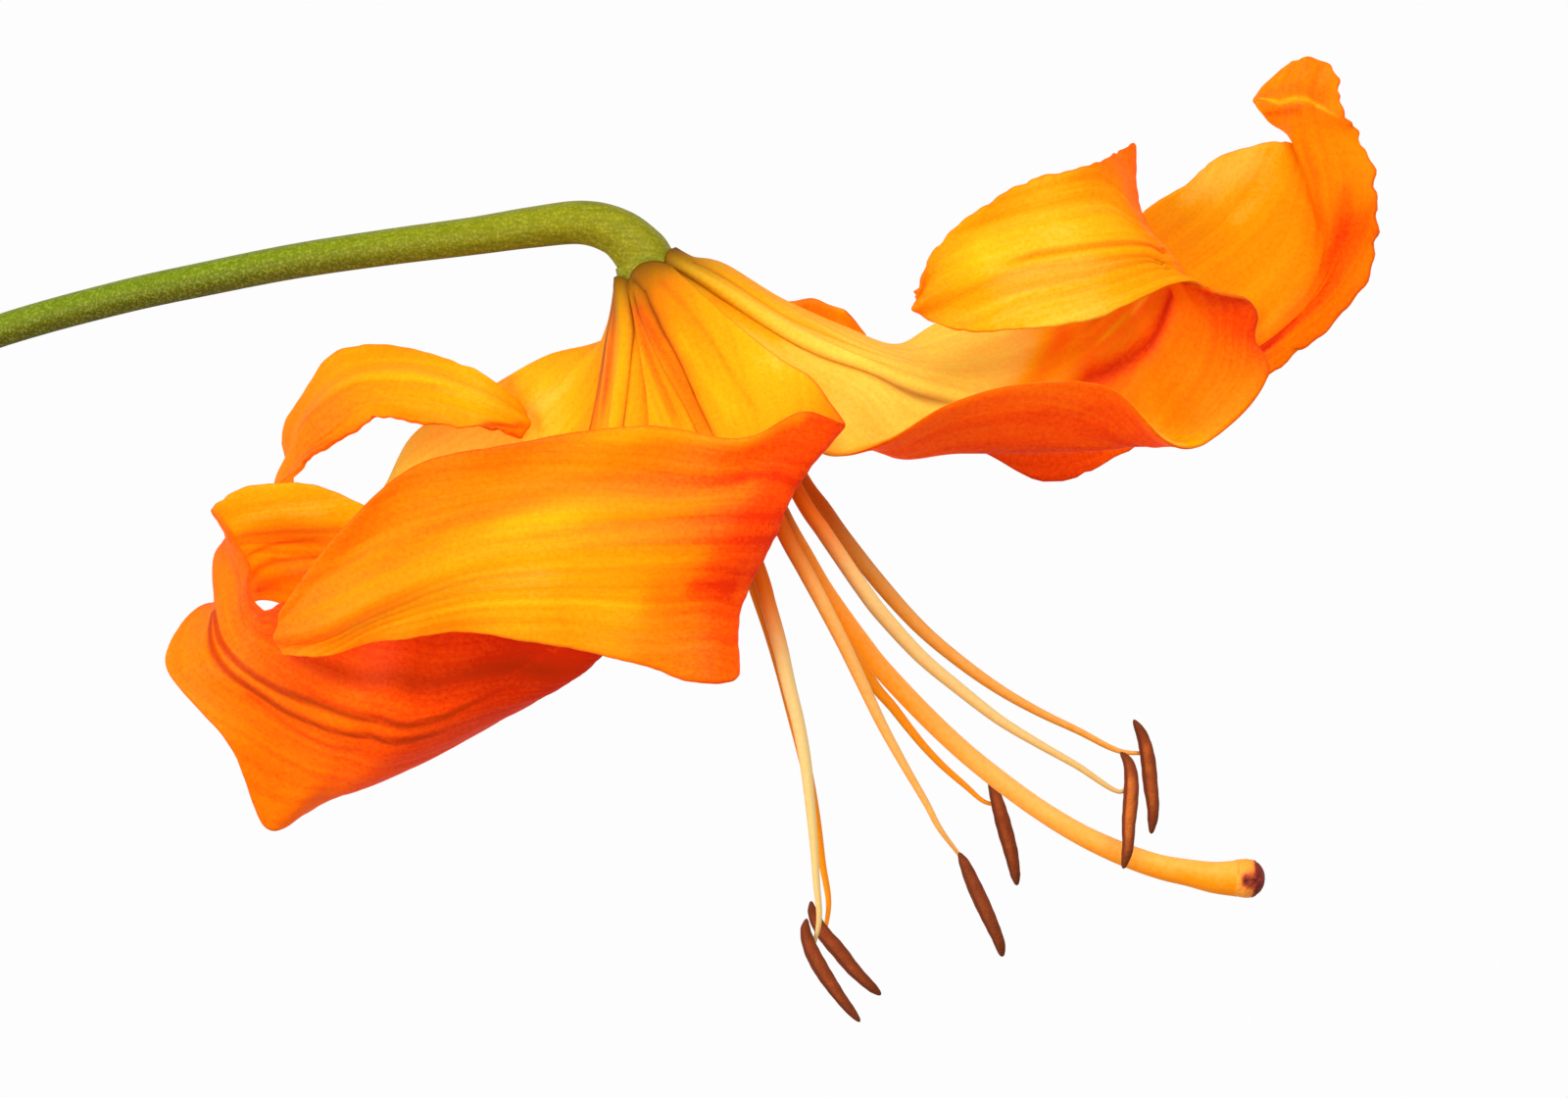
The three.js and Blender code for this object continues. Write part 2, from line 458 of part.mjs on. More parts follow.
/** One stamen: a filament that tapers from the receptacle, and the anther hung on its tip. */
function addStamen(stamen) {
  const grip = curvePoint(stamen.anther.map(vec), stamen.grip);
  const tip = grip.clone();
  tip.z -= ANTHER_RADIUS + FILAMENT_RADII.at(-1) + TOUCH_GAP;
  const foot = aroundAxis(FILAMENT_SEAT, FILAMENT_RING, stamen.azimuth);
  const way = [foot, ...stamen.filament.map(vec), tip];
  add(`filament_${stamen.name}`, tubeGeometry(way, FILAMENT_RADII, 18, 7), MATERIALS.filament);
  const radii = [0.3, 0.62, 0.85, 1, 0.95, 0.8, 0.6, 0.3].map((share) => share * ANTHER_RADIUS);
  add(`anther_${stamen.name}`, tubeGeometry(stamen.anther.map(vec), radii, 8, 8), MATERIALS.anther);
}

/** Ovary and style in one, then the three-lobed stigma at its end. */
function addPistil() {
  const points = [aroundAxis(FILAMENT_SEAT, 0, 0), ...PISTIL.map(vec)];
  add('pistil', tubeGeometry(points, PISTIL_RADII, 2 * (points.length - 1), 10), MATERIALS.filament);
  const end = points.at(-1);
  const out = end.clone().sub(points.at(-2)).normalize();
  const stigma = [0, 0.5, 1].map((share) => end.clone().addScaledVector(out, TOUCH_GAP + share * STIGMA_LENGTH));
  const radii = [0.8, 1, 0.95, 0.5].map((share) => share * STIGMA_RADIUS);
  add('stigma', tubeGeometry(stigma, radii, 6, 12), MATERIALS.stigma);
}

addPedicel();
PETALS.forEach((petal) => add(petal.name, petalGeometry(petal), MATERIALS.petal));
STAMENS.forEach(addStamen);
addPistil();

export default group;
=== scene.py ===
"""Tiger lily, one cut flower laid on a light table: its stem, petals, stamens and pistil."""

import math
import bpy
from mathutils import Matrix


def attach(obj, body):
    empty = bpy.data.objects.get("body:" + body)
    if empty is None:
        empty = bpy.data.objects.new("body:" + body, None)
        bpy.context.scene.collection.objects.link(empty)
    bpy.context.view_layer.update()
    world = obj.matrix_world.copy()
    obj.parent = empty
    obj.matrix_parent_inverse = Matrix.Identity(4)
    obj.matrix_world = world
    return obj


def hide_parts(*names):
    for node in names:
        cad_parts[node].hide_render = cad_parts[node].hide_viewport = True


bl_info = {
    "name": "Cut Lily",
    "version": (1, 1, 0),
    "blender": (4, 5, 0),
    "location": "View3D > Sidebar > Lily",
    "description": "Builds a cut orange lily with recurved petals, stamens and pistil, petal by petal",
    "category": "Add Mesh",
}

from collections import namedtuple

import bmesh
import bpy
import numpy as np
from mathutils import Vector

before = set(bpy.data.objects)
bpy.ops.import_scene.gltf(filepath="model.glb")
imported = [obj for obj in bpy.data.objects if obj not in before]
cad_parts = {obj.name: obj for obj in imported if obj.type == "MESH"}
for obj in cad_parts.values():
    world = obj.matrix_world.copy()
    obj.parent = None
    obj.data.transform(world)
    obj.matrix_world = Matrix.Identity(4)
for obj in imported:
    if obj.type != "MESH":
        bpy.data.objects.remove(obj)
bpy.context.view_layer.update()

# ---------------------------------------------------------------------------------------------
# Sizes. Lengths are millimetres from the receptacle, where stem, petals and stamens meet:
# x along the flower, y across it, z up from the surface that it lies on.
# ---------------------------------------------------------------------------------------------
MM = 0.001
RECEPTACLE = np.array([2.10, 30.07, 39.50])  # the same point in the part's frame
FLOOR = -RECEPTACLE[2]
PRESSED = 0.25  # what comes this close to the surface lies flat on it

AXIS = np.array([0.439, -0.898, 0.0])  # the flower's own axis, out of the stem into the funnel
ACROSS = np.array([0.898, 0.439, 0.0])  # azimuth 0 round the axis; azimuth 90 points straight up
UP = np.array([0.0, 0.0, 1.0])

RING_RADIUS = 3.75
FOOT_HALF_ANGLE = {"outer": 42.0, "inner": 26.0}  # outer petals wrap further round the receptacle
FOOT_MIDDLE = -0.7  # along the axis: a foot is an arch, lowest at its midrib
FOOT_MARGIN = 0.5
HALF_BOW = 0.08  # how far a shoulder is pushed out, as a share of the half blade's width
MIDRIB_THICKNESS = 1.15

FILAMENT_RING = 2.15
FILAMENT_SEAT = 0.2
FILAMENT_TAPER = [(0, 0.2), (5, 0.35), (11, 0.45), (16, 0.56), (22, 0.68), (29, 0.78), (36, 0.88),
                  (46, 0.9), (60, 0.82), (75, 0.78)]  # distance from the tip, radius
ANTHER_SPINDLE = [0.22, 0.6, 0.8, 0.93, 1.0, 0.98, 0.9, 0.78, 0.66, 0.3]  # shares of its girth
ANTHER_CLEARANCE = 0.3  # between an anther and the tip of the filament that holds it
RECEPTACLE_RADII = [3.1, 3.45, 3.8, 2.8]  # the end of the stem, which carries the petals
RECEPTACLE_PLACES = [-2.4, -0.8, 0.3, 0.9]  # along the axis

# The fine shape of a blade. A row of VEINS is their height, their spacing, how much they waver and
# over what length.
VEINS = [(0.035, 1.7, 1, 19), (0.05, 3.7, 2, 23)]
SWELL_HEIGHT = 0.25  # of the slow rise and fall between midrib and margin
RIGHT_MARGIN_SHIFT = 1.9  # radians that keep the waves of the right margin out of step with the left
CROWDING = 0.28  # how much the columns of the mesh crowd towards the margins

# Rings along a tube and points round it.
STEM_MESH = (260, 40)
FILAMENT_MESH = (130, 18)
ANTHER_MESH = (80, 30)
PISTIL_MESH = (180, 28)
STIGMA_MESH = (60, 96)

# The stage. The camera stands high above, so that the view is nearly without perspective.
VIEW_WIDTH_MM = 176.0  # what the camera takes in at the receptacle's height
CAMERA_HEIGHT_MM = 3000.0
VIEW_CENTRE = np.array([15.18, -31.24])
TABLE_REACH = 3.0  # metres, as are the next four
TABLE_DROP = 0.0005
KEY_PLACE = (0.12, 0.5, 0.8)
SIDE_PLACE = (-0.8, 0.0, 0.45)
LAMP_SIZE = 0.6
WHITE = (1.0, 1.0, 1.0, 1.0)

# A petal: the azimuth of its foot on the ring; leftward, +1 where the azimuth grows towards the left
# margin, which tells the inner face; the phase of its waves; its frill, which is how deep the left
# and the right margin are frilled and the length of a scallop; and its stations down its length: left
# margin, midrib, right margin, or with the two shoulders between them where a half blade is folded.
Petal = namedtuple("Petal", "name azimuth leftward phase frill stations")
PETALS = [
    Petal("petal_outer_front", 95, 1, 0.4, (0.1, 0.08, 5.2), [
        [[-1.2, -6.8, 7.8], [0.5, -5.9, 8.9], [5.2, -2.0, 7.4]],
        [[-0.2, -13.5, 13.2], [3.7, -12.0, 14.6], [10.2, -6.4, 12.4]],
        [[0.6, -21.0, 18.6], [7.0, -19.0, 20.6], [14.9, -10.1, 17.0]],
        [[3.2, -31.0, 24.0], [10.2, -25.0, 26.0], [18.1, -12.0, 20.5]],
        [[7.5, -41.0, 28.6], [12.8, -28.6, 29.3], [20.2, -14.7, 24.0]],
        [[10.1, -45.4, 32.0], [9.9, -38.2, 31.6], [13.4, -30.0, 31.6],
         [16.4, -23.9, 29.8], [21.5, -17.1, 27.6]],
        [[5.4, -46.1, 34.0], [8.6, -30.3, 35.2], [17.4, -16.1, 31.0]],
        [[-1.1, -44.0, 34.0], [0.2, -30.6, 36.6], [10.0, -18.9, 33.2]],
        [[-9.3, -42.2, 33.2], [-9.8, -31.2, 36.6], [-0.5, -17.5, 34.6]],
        [[-19.7, -40.6, 32.0], [-20.0, -32.6, 35.6], [-13.5, -19.3, 35.0]],
        [[-28.9, -41.4, 30.2], [-29.6, -36.4, 33.4], [-25.4, -21.9, 34.0]],
        [[-35.4, -43.0, 28.8], [-36.3, -39.7, 30.6], [-34.2, -29.2, 32.0]],
        [[-40.6, -43.0, 27.4], [-41.6, -41.1, 27.8], [-40.9, -38.7, 28.8]],
    ]),
    Petal("petal_inner_left", 155, 1, 2.1, (0.12, 0.25, 5.6), [
        [[-4.6, -7.6, -0.9], [-3.1, -7.0, 4.2], [-0.3, -6.0, 6.3]],
        [[-6.6, -18.3, -1.2], [-3.6, -17.6, 9.8], [1.8, -16.0, 13.6]],
        [[-11.0, -32.0, -0.6], [-5.6, -32.5, 14.8], [3.0, -29.5, 20.4]],
        [[-16.5, -44.0, 0.0], [-14.0, -46.2, 8.6], [-9.4, -45.3, 16.6],
         [-6.0, -43.6, 20.4], [-0.4, -37.5, 23.4]],
        [[-26.0, -52.0, 1.5], [-22.0, -53.0, 10.0], [-18.8, -49.6, 18.0],
         [-14.8, -43.0, 21.0], [-10.0, -36.5, 23.5]],
        [[-35.5, -58.4, 5.0], [-31.0, -57.2, 12.0], [-27.0, -51.8, 18.5],
         [-23.4, -44.0, 20.8], [-20.0, -36.0, 22.5]],
        [[-39.0, -60.6, 7.5], [-34.9, -56.6, 13.0], [-30.7, -50.9, 18.2],
         [-27.2, -43.6, 21.0], [-25.6, -36.3, 22.0]],
        [[-42.9, -62.4, 10.0], [-34.6, -50.0, 18.0], [-31.0, -36.5, 21.5]],
        [[-47.1, -52.5, 13.0], [-41.0, -47.0, 16.6], [-39.5, -37.0, 19.0]],
        [[-54.3, -44.1, 9.0], [-50.0, -44.0, 13.0], [-46.4, -42.4, 14.4],
         [-44.8, -40.0, 15.6], [-43.2, -37.8, 16.4]],
        [[-49.7, -38.0, 2.0], [-48.0, -37.1, 8.4], [-45.0, -33.4, 12.4]],
        [[-45.6, -37.8, -4.0], [-48.2, -32.3, 1.6], [-46.7, -29.1, 8.4]],
        [[-43.0, -37.0, -7.0], [-45.6, -31.1, -3.6], [-49.3, -26.9, 2.6]],
        [[-38.0, -37.8, -9.0], [-41.0, -31.0, -6.6], [-45.0, -24.4, -1.6]],
        [[-32.0, -37.0, -8.4], [-34.5, -31.2, -6.6], [-37.6, -24.0, -3.0]],
        [[-28.0, -34.4, -6.4], [-28.0, -31.4, -5.6], [-29.6, -27.6, -4.0]],
    ]),
    Petal("petal_outer_left", 215, -1, 1.3, (0.5, 0.3, 5.6), [
        [[-3.9, -8.6, -4.2], [-4.6, -7.4, -7.0], [-4.2, -7.4, -9.4]],
        [[-5.0, -18.6, -9.0], [-8.6, -14.4, -13.4], [-11.3, -9.3, -16.0]],
        [[-10.5, -28.6, -13.6], [-16.4, -21.6, -20.4], [-18.0, -12.9, -22.6]],
        [[-21.6, -35.4, -18.2], [-25.6, -27.0, -27.0], [-26.5, -18.0, -29.4]],
        [[-33.0, -36.4, -21.6], [-33.4, -30.0, -32.0], [-31.3, -26.2, -37.8]],
        [[-40.0, -31.0, -23.0], [-39.3, -28.2, -32.6], [-36.8, -27.8, -40.0]],
        [[-42.0, -25.6, -22.0], [-42.0, -24.6, -29.4], [-41.0, -24.6, -38.6]],
        [[-39.4, -21.4, -19.0], [-40.5, -20.5, -24.0], [-41.1, -19.7, -31.0]],
        [[-36.0, -20.0, -16.6], [-38.0, -16.4, -19.6], [-40.7, -15.6, -26.0]],
        [[-31.2, -16.4, -14.4], [-33.4, -12.8, -16.6], [-35.6, -9.4, -22.4]],
        [[-26.0, -17.2, -13.4], [-26.6, -12.4, -14.8], [-27.2, -8.4, -20.0]],
        [[-19.8, -17.4, -13.8], [-19.6, -14.2, -14.4], [-19.6, -11.5, -18.2]],
        [[-14.4, -18.8, -15.0], [-13.4, -17.2, -15.6], [-14.0, -14.8, -17.6]],
    ]),
    Petal("petal_inner_back", 275, -1, 0.9, (0.15, 0.15, 6.4), [
        [[-2.4, -7.6, -8.6], [0.6, -5.6, -9.6], [4.4, -3.0, -8.4]],
        [[-5.0, -19.0, -16.4], [2.2, -15.0, -18.6], [9.0, -10.0, -14.6]],
        [[-6.0, -31.0, -23.0], [4.0, -24.6, -27.0], [12.4, -17.0, -22.0]],
        [[-4.0, -40.0, -28.0], [5.6, -31.6, -34.0], [13.4, -21.0, -28.6]],
        [[1.0, -41.5, -33.4], [8.0, -32.6, -38.0], [14.6, -20.0, -33.6]],
        [[5.0, -36.5, -36.8], [10.6, -28.0, -39.6], [17.4, -17.6, -37.2]],
        [[8.6, -28.0, -38.0], [13.4, -21.0, -39.5], [19.8, -13.4, -38.0]],
        [[11.2, -18.6, -37.8], [16.0, -13.6, -38.6], [22.6, -10.4, -37.6]],
        [[12.4, -9.0, -36.4], [18.0, -7.4, -36.8], [24.7, -7.7, -36.4]],
        [[14.0, -3.2, -35.2], [18.4, -2.8, -35.2], [22.1, -4.0, -35.2]],
    ]),
    Petal("petal_inner_right", 35, -1, 1.7, (0.28, 0.16, 4.4), [
        [[8.1, 0.7, 0.6], [7.6, -1.2, 4.9], [5.6, -3.6, 6.0]],
        [[14.8, -3.3, 1.0], [13.6, -5.2, 7.8], [11.0, -9.0, 11.2]],
        [[22.0, -6.5, 1.6], [19.9, -8.8, 10.6], [15.6, -15.0, 15.4]],
        [[27.6, -8.5, 2.6], [25.7, -11.2, 12.0], [19.7, -20.7, 18.0]],
        [[31.6, -6.4, 3.6], [31.6, -10.0, 8.4], [31.0, -13.1, 12.8],
         [27.8, -20.4, 14.0], [26.6, -19.2, 19.4]],
        [[36.6, -3.0, 5.0], [37.4, -8.6, 9.0], [37.6, -14.4, 12.8], [35.0, -20.3, 13.4], [33.6, -15.1, 20.4]],
        [[42.0, 1.2, 6.4], [43.6, -6.0, 9.6], [44.2, -12.8, 12.4], [43.0, -20.2, 13.0], [42.4, -12.7, 20.8]],
        [[47.2, 5.6, 8.0], [48.8, -2.4, 10.2], [49.6, -9.8, 12.0], [51.0, -19.8, 12.4], [51.0, -13.4, 19.4]],
        [[51.2, 10.0, 11.0], [53.0, 1.8, 12.0], [53.8, -6.0, 12.0], [56.8, -18.4, 11.0], [58.2, -18.8, 15.6]],
        [[53.0, 12.5, 13.4], [54.1, 4.6, 13.6], [55.8, -3.8, 13.0], [60.0, -15.4, 11.8], [63.3, -18.8, 12.8]],
        [[53.8, 14.0, 15.5], [54.5, 6.8, 15.6], [57.4, -1.4, 14.2], [62.6, -10.4, 12.4], [69.2, -12.3, 11.4]],
        [[53.1, 13.3, 17.6], [54.5, 6.5, 17.8], [58.5, 0.2, 16.4], [62.4, -5.2, 14.2], [67.7, -7.7, 11.6]],
        [[52.2, 12.8, 19.8], [54.2, 6.0, 20.2], [58.0, 1.4, 19.4], [61.2, -2.6, 16.8], [68.0, -4.5, 12.6]],
        [[50.6, 12.1, 21.5], [53.7, 5.9, 21.6], [56.8, 1.7, 20.8], [59.1, -1.0, 19.2], [62.9, -3.0, 17.0]],
        [[48.6, 11.3, 22.6], [54.0, 2.7, 22.8], [59.0, -1.6, 20.0]],
        [[42.6, 9.8, 24.2], [47.4, 2.0, 25.0], [50.0, -5.6, 23.2]],
        [[36.6, 6.4, 25.2], [40.4, 0.8, 26.0], [41.6, -6.8, 24.4]],
        [[31.6, 1.6, 25.0], [34.4, -1.6, 25.4], [35.2, -7.0, 24.6]],
        [[30.2, -3.0, 23.8], [29.4, -4.6, 23.8], [31.0, -5.6, 23.8]],
    ]),
    Petal("petal_outer_right", 335, -1, 2.8, (0.85, 0.15, 5.0), [
        [[7.0, -3.4, -10.0], [7.8, -1.4, -7.2], [8.6, -0.2, -2.6]],
        [[16.0, -11.0, -17.0], [16.2, -7.6, -12.6], [16.4, -4.6, -4.6]],
        [[26.0, -17.0, -23.4], [27.0, -12.6, -18.4], [27.0, -9.6, -7.6]],
        [[37.0, -20.0, -29.0], [39.6, -14.0, -25.0], [38.0, -8.0, -11.4]],
        [[46.0, -23.6, -34.0], [51.0, -13.6, -32.0], [47.1, -2.4, -16.6]],
        [[58.0, -18.0, -37.6], [61.6, -9.8, -37.6], [53.7, 4.4, -21.8]],
        [[69.6, -11.6, -37.8], [70.2, -5.6, -39.2], [59.9, 9.8, -26.6]],
        [[77.8, -5.6, -36.0], [75.4, -0.6, -38.8], [64.7, 13.0, -30.6]],
        [[81.9, 2.2, -33.4], [76.6, 4.2, -36.6], [69.7, 14.9, -33.0]],
        [[82.5, 9.3, -31.0], [75.4, 9.8, -33.4], [73.1, 15.0, -34.6]],
        [[80.3, 15.4, -29.4], [73.8, 14.8, -30.8], [71.1, 17.2, -32.6]],
        [[78.4, 18.2, -29.2], [73.2, 19.4, -29.4], [68.6, 19.2, -30.6]],
        [[78.3, 20.9, -31.4], [73.2, 21.6, -31.6], [69.0, 20.8, -32.6]],
        [[76.9, 24.0, -32.6], [74.7, 24.6, -32.6], [72.8, 24.1, -33.0]],
    ]),
]

# A stamen: the azimuth of its foot on the ring; grip, the share of the anther at which the filament
# holds it; throat_end, the share of the filament at which its brown throat part ends; its paleness;
# how rusty the crest of its anther is; the filament's way; and the anther's own curve.
Stamen = namedtuple("Stamen", "name azimuth grip throat_end paleness rust filament anther")
STAMENS = [
    Stamen("right_back", -25, 0.36, 0.47, 0.25, 0.6, [
        [8.4, -7.2, -1.6], [13.0, -14.9, -3.0], [17.1, -23.2, -4.4], [19.6, -26.7, -4.9],
        [22.0, -30.1, -5.3], [26.2, -35.4, -5.9], [30.6, -40.2, -6.4], [35.1, -44.0, -6.8],
        [39.5, -47.1, -7.1], [43.9, -49.6, -7.4], [48.3, -51.7, -7.6], [52.7, -53.9, -7.8],
    ], [
        [54.5, -50.4, -7.0], [55.5, -52.3, -6.7], [56.1, -54.8, -6.5], [56.4, -57.8, -6.4],
        [56.7, -60.5, -6.6], [56.5, -63.3, -7.0],
    ]),
    Stamen("right_front", 35, 0.35, 0.5, 0.75, 0.85, [
        [6.6, -7.5, 3.6], [12.1, -16.2, 8.0], [17.1, -25.6, 11.0], [19.6, -29.3, 12.0],
        [21.7, -32.4, 12.6], [23.9, -35.6, 13.2], [26.1, -38.5, 13.6], [30.4, -43.2, 14.0],
        [34.8, -46.9, 14.2], [39.2, -50.3, 14.2], [43.6, -53.0, 14.0], [48.0, -55.5, 13.4],
        [52.4, -58.3, 12.4],
    ], [
        [52.8, -53.9, 12.6], [53.7, -55.2, 12.8], [54.0, -57.1, 13.0], [53.9, -59.6, 13.0],
        [53.7, -61.9, 12.8], [53.6, -64.6, 12.5], [53.1, -67.0, 12.2],
    ]),
    Stamen("front", 95, 0.08, 0.54, 0.4, 0.3, [
        [4.9, -8.6, 6.4], [10.4, -19.1, 11.0], [15.1, -29.2, 13.6], [17.5, -33.6, 14.4],
        [19.7, -37.7, 15.0], [21.9, -42.0, 15.3], [24.0, -46.4, 15.5], [26.1, -50.8, 15.6],
        [28.5, -55.2, 15.6], [31.0, -59.5, 15.3], [32.6, -62.5, 15.0],
    ], [
        [34.7, -65.1, 14.8], [35.4, -66.5, 14.9], [36.3, -68.6, 14.9], [37.4, -71.0, 14.8],
        [38.4, -73.2, 14.5], [39.2, -75.1, 14.1], [39.6, -76.8, 13.6],
    ]),
    Stamen("left_front", 155, 0.35, 0.58, 0.95, 0.4, [
        [3.0, -9.6, 4.6], [7.8, -22.2, 9.4], [12.2, -33.3, 12.2], [13.5, -37.7, 12.9],
        [14.7, -42.0, 13.5], [15.7, -46.4, 13.9], [16.8, -50.8, 14.2], [17.6, -55.2, 14.4],
        [18.1, -59.6, 14.4], [18.5, -63.9, 14.3], [18.8, -68.3, 14.1], [19.1, -72.7, 13.6],
    ], [
        [17.7, -72.5, 13.0], [17.6, -74.0, 13.2], [18.2, -76.0, 13.4], [19.3, -78.1, 13.4],
        [20.6, -80.1, 13.3], [21.9, -81.9, 13.1], [23.7, -84.1, 12.8],
    ]),
    Stamen("left_back", 215, 0.35, 0.48, -0.15, 0.4, [
        [2.8, -10.0, -2.6], [7.1, -22.5, -5.2], [10.9, -31.9, -6.4], [12.1, -35.7, -6.8],
        [13.6, -40.1, -7.2], [14.9, -44.6, -7.5], [16.0, -49.0, -7.7], [17.1, -53.4, -7.9],
        [18.1, -57.8, -8.0], [18.9, -62.2, -8.0], [19.5, -66.6, -8.0], [20.2, -71.0, -8.0],
    ], [
        [18.2, -70.8, -6.6], [18.5, -72.4, -6.3], [19.6, -74.4, -6.0], [21.3, -76.4, -5.8],
        [22.9, -78.4, -5.9], [24.6, -80.1, -6.1], [26.1, -81.4, -6.4],
    ]),
    Stamen("back", 275, 0.3, 0.5, -0.1, 0.5, [
        [5.4, -10.0, -5.0], [11.5, -21.1, -7.4], [16.9, -31.6, -8.6], [21.0, -39.3, -9.0],
        [23.7, -43.9, -9.1], [25.5, -46.8, -9.2], [27.4, -49.0, -9.2], [29.1, -51.2, -9.2],
        [30.9, -53.4, -9.2], [33.0, -55.6, -9.1], [35.5, -57.8, -8.9], [37.6, -59.6, -8.6],
    ], [
        [38.3, -56.9, -7.2], [38.8, -58.4, -6.9], [39.4, -60.5, -6.7], [40.0, -62.7, -6.6],
        [40.7, -65.3, -6.7], [41.1, -67.3, -6.9], [41.4, -69.1, -7.2],
    ]),
]

PISTIL = [
    [3.6, -6.4, 0.8], [7.4, -13.0, 2.0], [11.3, -20.4, 3.2], [15.2, -28.2, 4.2],
    [17.4, -32.0, 4.6], [19.5, -35.6, 4.9], [21.7, -38.8, 5.1], [23.9, -41.8, 5.3],
    [26.1, -44.6, 5.4], [30.5, -49.3, 5.6], [34.9, -53.5, 5.6], [39.3, -57.1, 5.6],
    [43.7, -60.3, 5.5], [48.1, -63.0, 5.3], [52.5, -65.1, 5.0], [56.9, -66.7, 4.7],
    [60.7, -67.5, 4.4], [63.5, -68.0, 4.2], [66.0, -68.1, 4.0],
]
PISTIL_RADII = [0.95, 1.3, 1.5, 1.3, 1.15, 1.12, 1.1, 1.1, 1.1, 1.1, 1.1, 1.1, 1.12, 1.13, 1.18, 1.28,
                1.36, 1.52, 1.78, 2.05]
STIGMA_RADII = [2.03, 2.2, 2.28, 2.2]
STIGMA_PLACES = [0, 0.35, 0.7, 1.1]  # of the radii, in lengths of the stigma
STIGMA_LENGTH = 3.1
STIGMA_OVERLAP = 0.3  # how far it reaches back over the end of the style

# The stem comes off the surface at its cut end and bends down into the receptacle.
PEDICEL = [
    [-86, -10.8, -37.8], [-72.8, -6.2, -31], [-60, -2.8, -24.2], [-50, -0.7, -18.8],
    [-40, 1.2, -13.6], [-30, 2.65, -8.8], [-20, 3.9, -4.6], [-13, 4.9, -2.2], [-7.4, 5.4, -0.8],
    [-3.5, 4.3, -0.2],
]
PEDICEL_RADII = [1.85, 1.85, 1.88, 1.92, 1.97, 2.03, 2.12, 2.3, 2.45, 2.7]

# Warmth of a petal's skin, from -0.25 (cream) over 0 (pale yellow) to 1 (red): rows of station, left
# margin, midrib, right margin, for the outer face and for the inner face. The rows carry painted light
# and shade too: warmer where shade falls, as where the front petal lies over the left one, and paler,
# down to cream, in the funnel under petal limbs.
WARMTH = {
    "petal_outer_front": {
        "outer": [(0, 0.45, 0.55, 0.4), (1, 0.5, 0.6, 0.45), (2, 0.4, 0.55, 0.25), (3, 0.4, 0.4, 0.15),
                  (4, 0.4, 0.3, 0.3), (6, 0.5, 0.5, 0.8), (13, 0.5, 0.5, 0.5)],
        "inner": [(0, 0.4, 0.4, 0.4), (5, 0.75, 0.95, 0.95), (6.8, 0.75, 0.9, 0.9), (8, 0.6, 0.55, 0.85),
                  (9.2, 0.45, 0.4, 0.65), (10.5, 0.55, 0.5, 0.7), (13, 0.6, 0.7, 0.7)],
    },
    "petal_inner_left": {
        "outer": [(0, 0.6, 0.45, 0.5), (1.5, 0.75, 0.4, 0.5), (4, 0.6, 0.4, 0.5), (12, 0.6, 0.45, 0.7),
                  (13, 0.55, 0.4, 0.3), (16, 0.6, 0.4, 0.2)],
        "inner": [(0, 0.5, 0.5, 0.5), (3.5, 0.9, 1.05, 1.1), (5, 0.8, 0.95, 1.0), (6.5, 0.7, 0.85, 0.95),
                  (8, 0.65, 0.75, 1.0), (12, 0.65, 0.7, 0.75), (16, 0.6, 0.6, 0.6)],
    },
    "petal_outer_left": {
        "outer": [(0, 0.6, 0.5, 0.55), (1.5, 0.45, 0.4, 0.5), (2.2, 0.45, 0.2, 0.35), (3, 0.4, 0.2, 0.05),
                  (4.5, 0.1, -0.25, -0.3), (7, 0.3, 0.2, 0.25), (13, 0.6, 0.5, 0.6)],
        "inner": [(0, 0.5, 0.5, 0.5), (5, 0.6, 0.5, 0.6), (9, 0.75, 0.65, 0.6), (10, 0.6, 0.5, 0.5),
                  (12, 0.45, 0.2, 0.25), (13, 0.8, 0.5, 0.4)],
    },
    "petal_inner_back": {
        "outer": [(0, 0.5, 0.5, 0.5), (4, 0.7, 0.7, 0.7), (10, 0.6, 0.65, 0.5)],
        "inner": [(0, 0.6, 0.6, 0.6), (5, 0.85, 0.85, 0.85), (10, 0.9, 0.9, 0.9)],
    },
    "petal_inner_right": {
        "outer": [(0, 0.3, 0.35, 0.3), (2.5, 0.3, 0.15, 0.05), (4, 0.1, 0.0, 0.1), (5.5, 0.05, -0.25, 0.2),
                  (6.4, -0.2, -0.1, 0.3), (7.9, 0.35, 0.6, 0.25), (9, 0.55, 0.6, 0.05),
                  (10, 0.6, 0.65, 0.45), (12, 0.6, 0.65, 0.95), (13.5, 0.8, 0.8, 0.9), (19, 0.5, 0.5, 0.6)],
        "inner": [(0, 0.4, 0.4, 0.4), (5, 0.7, 0.8, 0.8), (6.5, 0.8, 1.05, 0.75), (9, 0.8, 1.05, 0.75),
                  (13, 0.7, 0.5, 0.75), (14.5, 0.65, 0.45, 0.5), (16, 0.4, 0.2, 0.15),
                  (17.3, 0.45, 0.2, 0.2), (19, 0.7, 0.65, 0.6)],
    },
    "petal_outer_right": {
        "outer": [(0, 0.5, 0.5, 0.5), (14, 0.6, 0.55, 0.6)],
        "inner": [(0, 0.5, 0.5, 0.5), (5, 0.95, 0.85, 0.85), (6.5, 0.7, 0.45, 0.35), (7.5, 0.7, 0.45, 0.15),
                  (9.5, 0.6, 0.5, 0.2), (11, 0.55, 0.55, 0.3), (12, 0.65, 0.7, 0.65), (14, 0.6, 0.6, 0.6)],
    },
}
